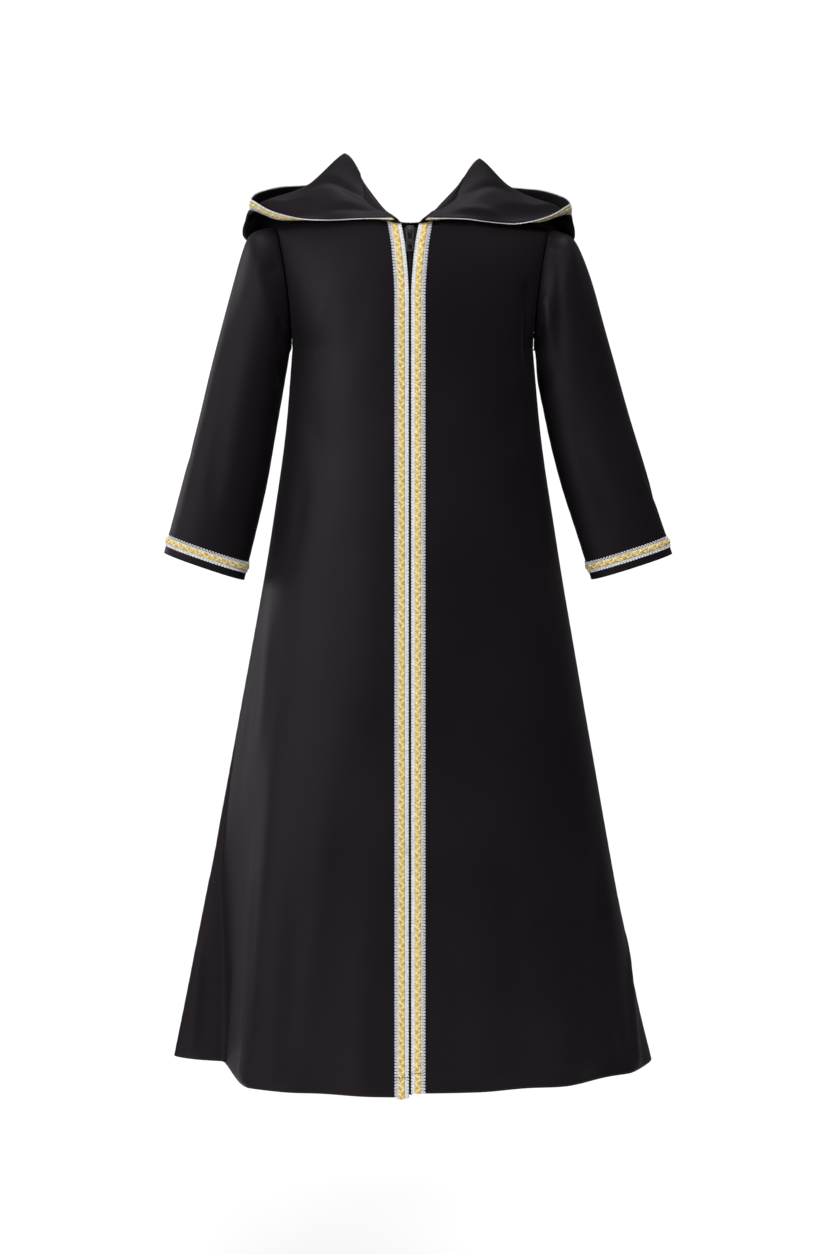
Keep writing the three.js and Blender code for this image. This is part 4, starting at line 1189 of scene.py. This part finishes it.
def zip_teeth():
    """The closed row of teeth: two interleaved rows of small rounded coils on their core."""
    low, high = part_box("zip_chain")
    half = CHAIN_WIDTH / 2
    z = np.linspace(low[2] / MM - CORE["below"], high[2] / MM, CHAIN_ROWS)
    lines = np.stack([body_point("front", np.full_like(z, x), z) for x in (-half, 0, half)], 1)
    strip = Strip(lines, CHAIN_WIDTH, 1)

    def core_place(u, v):
        x = half + mix(-1, 1, u) * CORE["half_width"]
        return np.stack([x, v * strip.length, np.full_like(u, -CLOTH_BACK_OF_ZIP - CORE["behind"])], -1)

    core = mapped_grid(2, CHAIN_ROWS, core_place)
    bmesh.ops.solidify(core, geom=core.faces, thickness=CORE["thick"])
    rows = [flat_mesh(core)]
    count = int(strip.length / TOOTH["pitch"])
    for place, sign in ((0, -1), (0.5, 1)):
        middle = half + sign * TOOTH["reach"]
        tooth = pad_mesh(middle, TOOTH["half"], -CLOTH_BACK_OF_ZIP, 0)
        rows.append(repeated(tooth, count, TOOTH["pitch"], (TOOTH["first"] + place) * TOOTH["pitch"]))
    piece = laid_piece("zip_teeth", rows, strip, [zip_nylon])
    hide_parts("zip_chain")


MERGE, FLAT_WITHIN = 0.004, 3  # millimetres and degrees
METAL_EDGE, SHARP_FROM = 0.28, 35


def metal_part(name, node, body):
    """A cast part of the zip: the plain shape with its edges rounded."""
    bm = bmesh.new()
    bm.from_mesh(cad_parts[node].data)
    bmesh.ops.remove_doubles(bm, verts=bm.verts, dist=MERGE * MM)
    flat_within = math.radians(FLAT_WITHIN)
    bmesh.ops.dissolve_limit(bm, angle_limit=flat_within, verts=bm.verts, edges=bm.edges)
    mesh = finish_mesh(bm, name)
    piece = new_piece(name, mesh, [zip_metal], body)
    edge = piece.modifiers.new("rounded edges", "BEVEL")
    edge.width = METAL_EDGE * MM
    edge.segments = 2
    edge.limit_method = "ANGLE"
    edge.angle_limit = math.radians(SHARP_FROM)
    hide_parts(node)


zip_teeth()
metal_part("slider_body", "zip_slider", GARMENT)
metal_part("slider_pull", "zip_pull", PULL_TAB)
for side in SIDES:
    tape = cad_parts[f"zip_tape_{side}"]
    tape.data.materials.clear()
    tape.data.materials.append(zip_tape)
    tape.material_slots[0].material = zip_tape


# ---- floor, light and view ------------------------------------------------
FLOOR_Z = -1.3
FLOOR_HALF = 1.1
SKY_SEEN, SKY_LIGHT = 1.05, 0.1


def make_floor():
    bm = bmesh.new()
    bmesh.ops.create_grid(bm, x_segments=1, y_segments=1, size=FLOOR_HALF)
    bmesh.ops.translate(bm, vec=(0, 0, FLOOR_Z), verts=bm.verts)
    floor = bpy.data.objects.new("floor", finish_mesh(bm, "floor", smooth=False))
    bpy.context.scene.collection.objects.link(floor)
    plaster = Finish("pale_floor", Specular_IOR_Level=0.1, Emission_Strength=0.35)
    plaster.shader.inputs["Emission Color"].default_value = (1, 1, 1, 1)
    mottle = plaster.speckle(plaster.place("Object"), 3.0)
    plaster.colours(mottle, [(0.3, (0.86, 0.86, 0.86)), (0.7, (0.9, 0.9, 0.9))])
    plaster.roughness(mottle * 0.1 + 0.8)
    floor.data.materials.append(plaster.material)


def make_lamp(name, at, aim, size, watts, shines=True):
    """A soft lamp. One that doesn't shine lights the cloth without a gloss on it."""
    data = bpy.data.lights.new(name, "AREA")
    data.shape = "RECTANGLE"
    data.size, data.size_y = size
    data.energy = watts
    lamp = bpy.data.objects.new(name, data)
    lamp.visible_glossy = shines
    lamp.location = at
    lamp.rotation_euler = (Vector(aim) - Vector(at)).to_track_quat("-Z", "Y").to_euler()
    bpy.context.scene.collection.objects.link(lamp)


def make_sky():
    """White to look at, and a dim even light on the robe."""
    world = bpy.data.worlds.new("studio")
    bpy.context.scene.world = world
    world.use_nodes = True
    nodes, links = world.node_tree.nodes, world.node_tree.links
    nodes.clear()
    seen, lighting = nodes.new("ShaderNodeBackground"), nodes.new("ShaderNodeBackground")
    for background, strength in ((seen, SKY_SEEN), (lighting, SKY_LIGHT)):
        background.inputs["Color"].default_value = (1, 1, 1, 1)
        background.inputs["Strength"].default_value = strength
    ray, choice = nodes.new("ShaderNodeLightPath"), nodes.new("ShaderNodeMixShader")
    output = nodes.new("ShaderNodeOutputWorld")
    links.new(ray.outputs["Is Camera Ray"], choice.inputs[0])
    links.new(lighting.outputs[0], choice.inputs[1])
    links.new(seen.outputs[0], choice.inputs[2])
    links.new(choice.outputs[0], output.inputs[0])


make_floor()
make_sky()
make_lamp("key", (-2.38, -2.05, 0.5), (0, 0, -0.45), (1.5, 2.2), 62)
make_lamp("front", (0.5, -1.9, 2.6), (0, 0, -0.5), (2.4, 1.2), 110, shines=False)
make_lamp("back", (-2.7, 1.5, 0.3), (0, 0, -0.5), (1.2, 2.2), 30)
make_lamp("top", (0, 0.3, 2.4), (0, 0, 0), (2.0, 1.6), 30)
make_camera()
bpy.context.scene.view_settings.view_transform = "Standard"
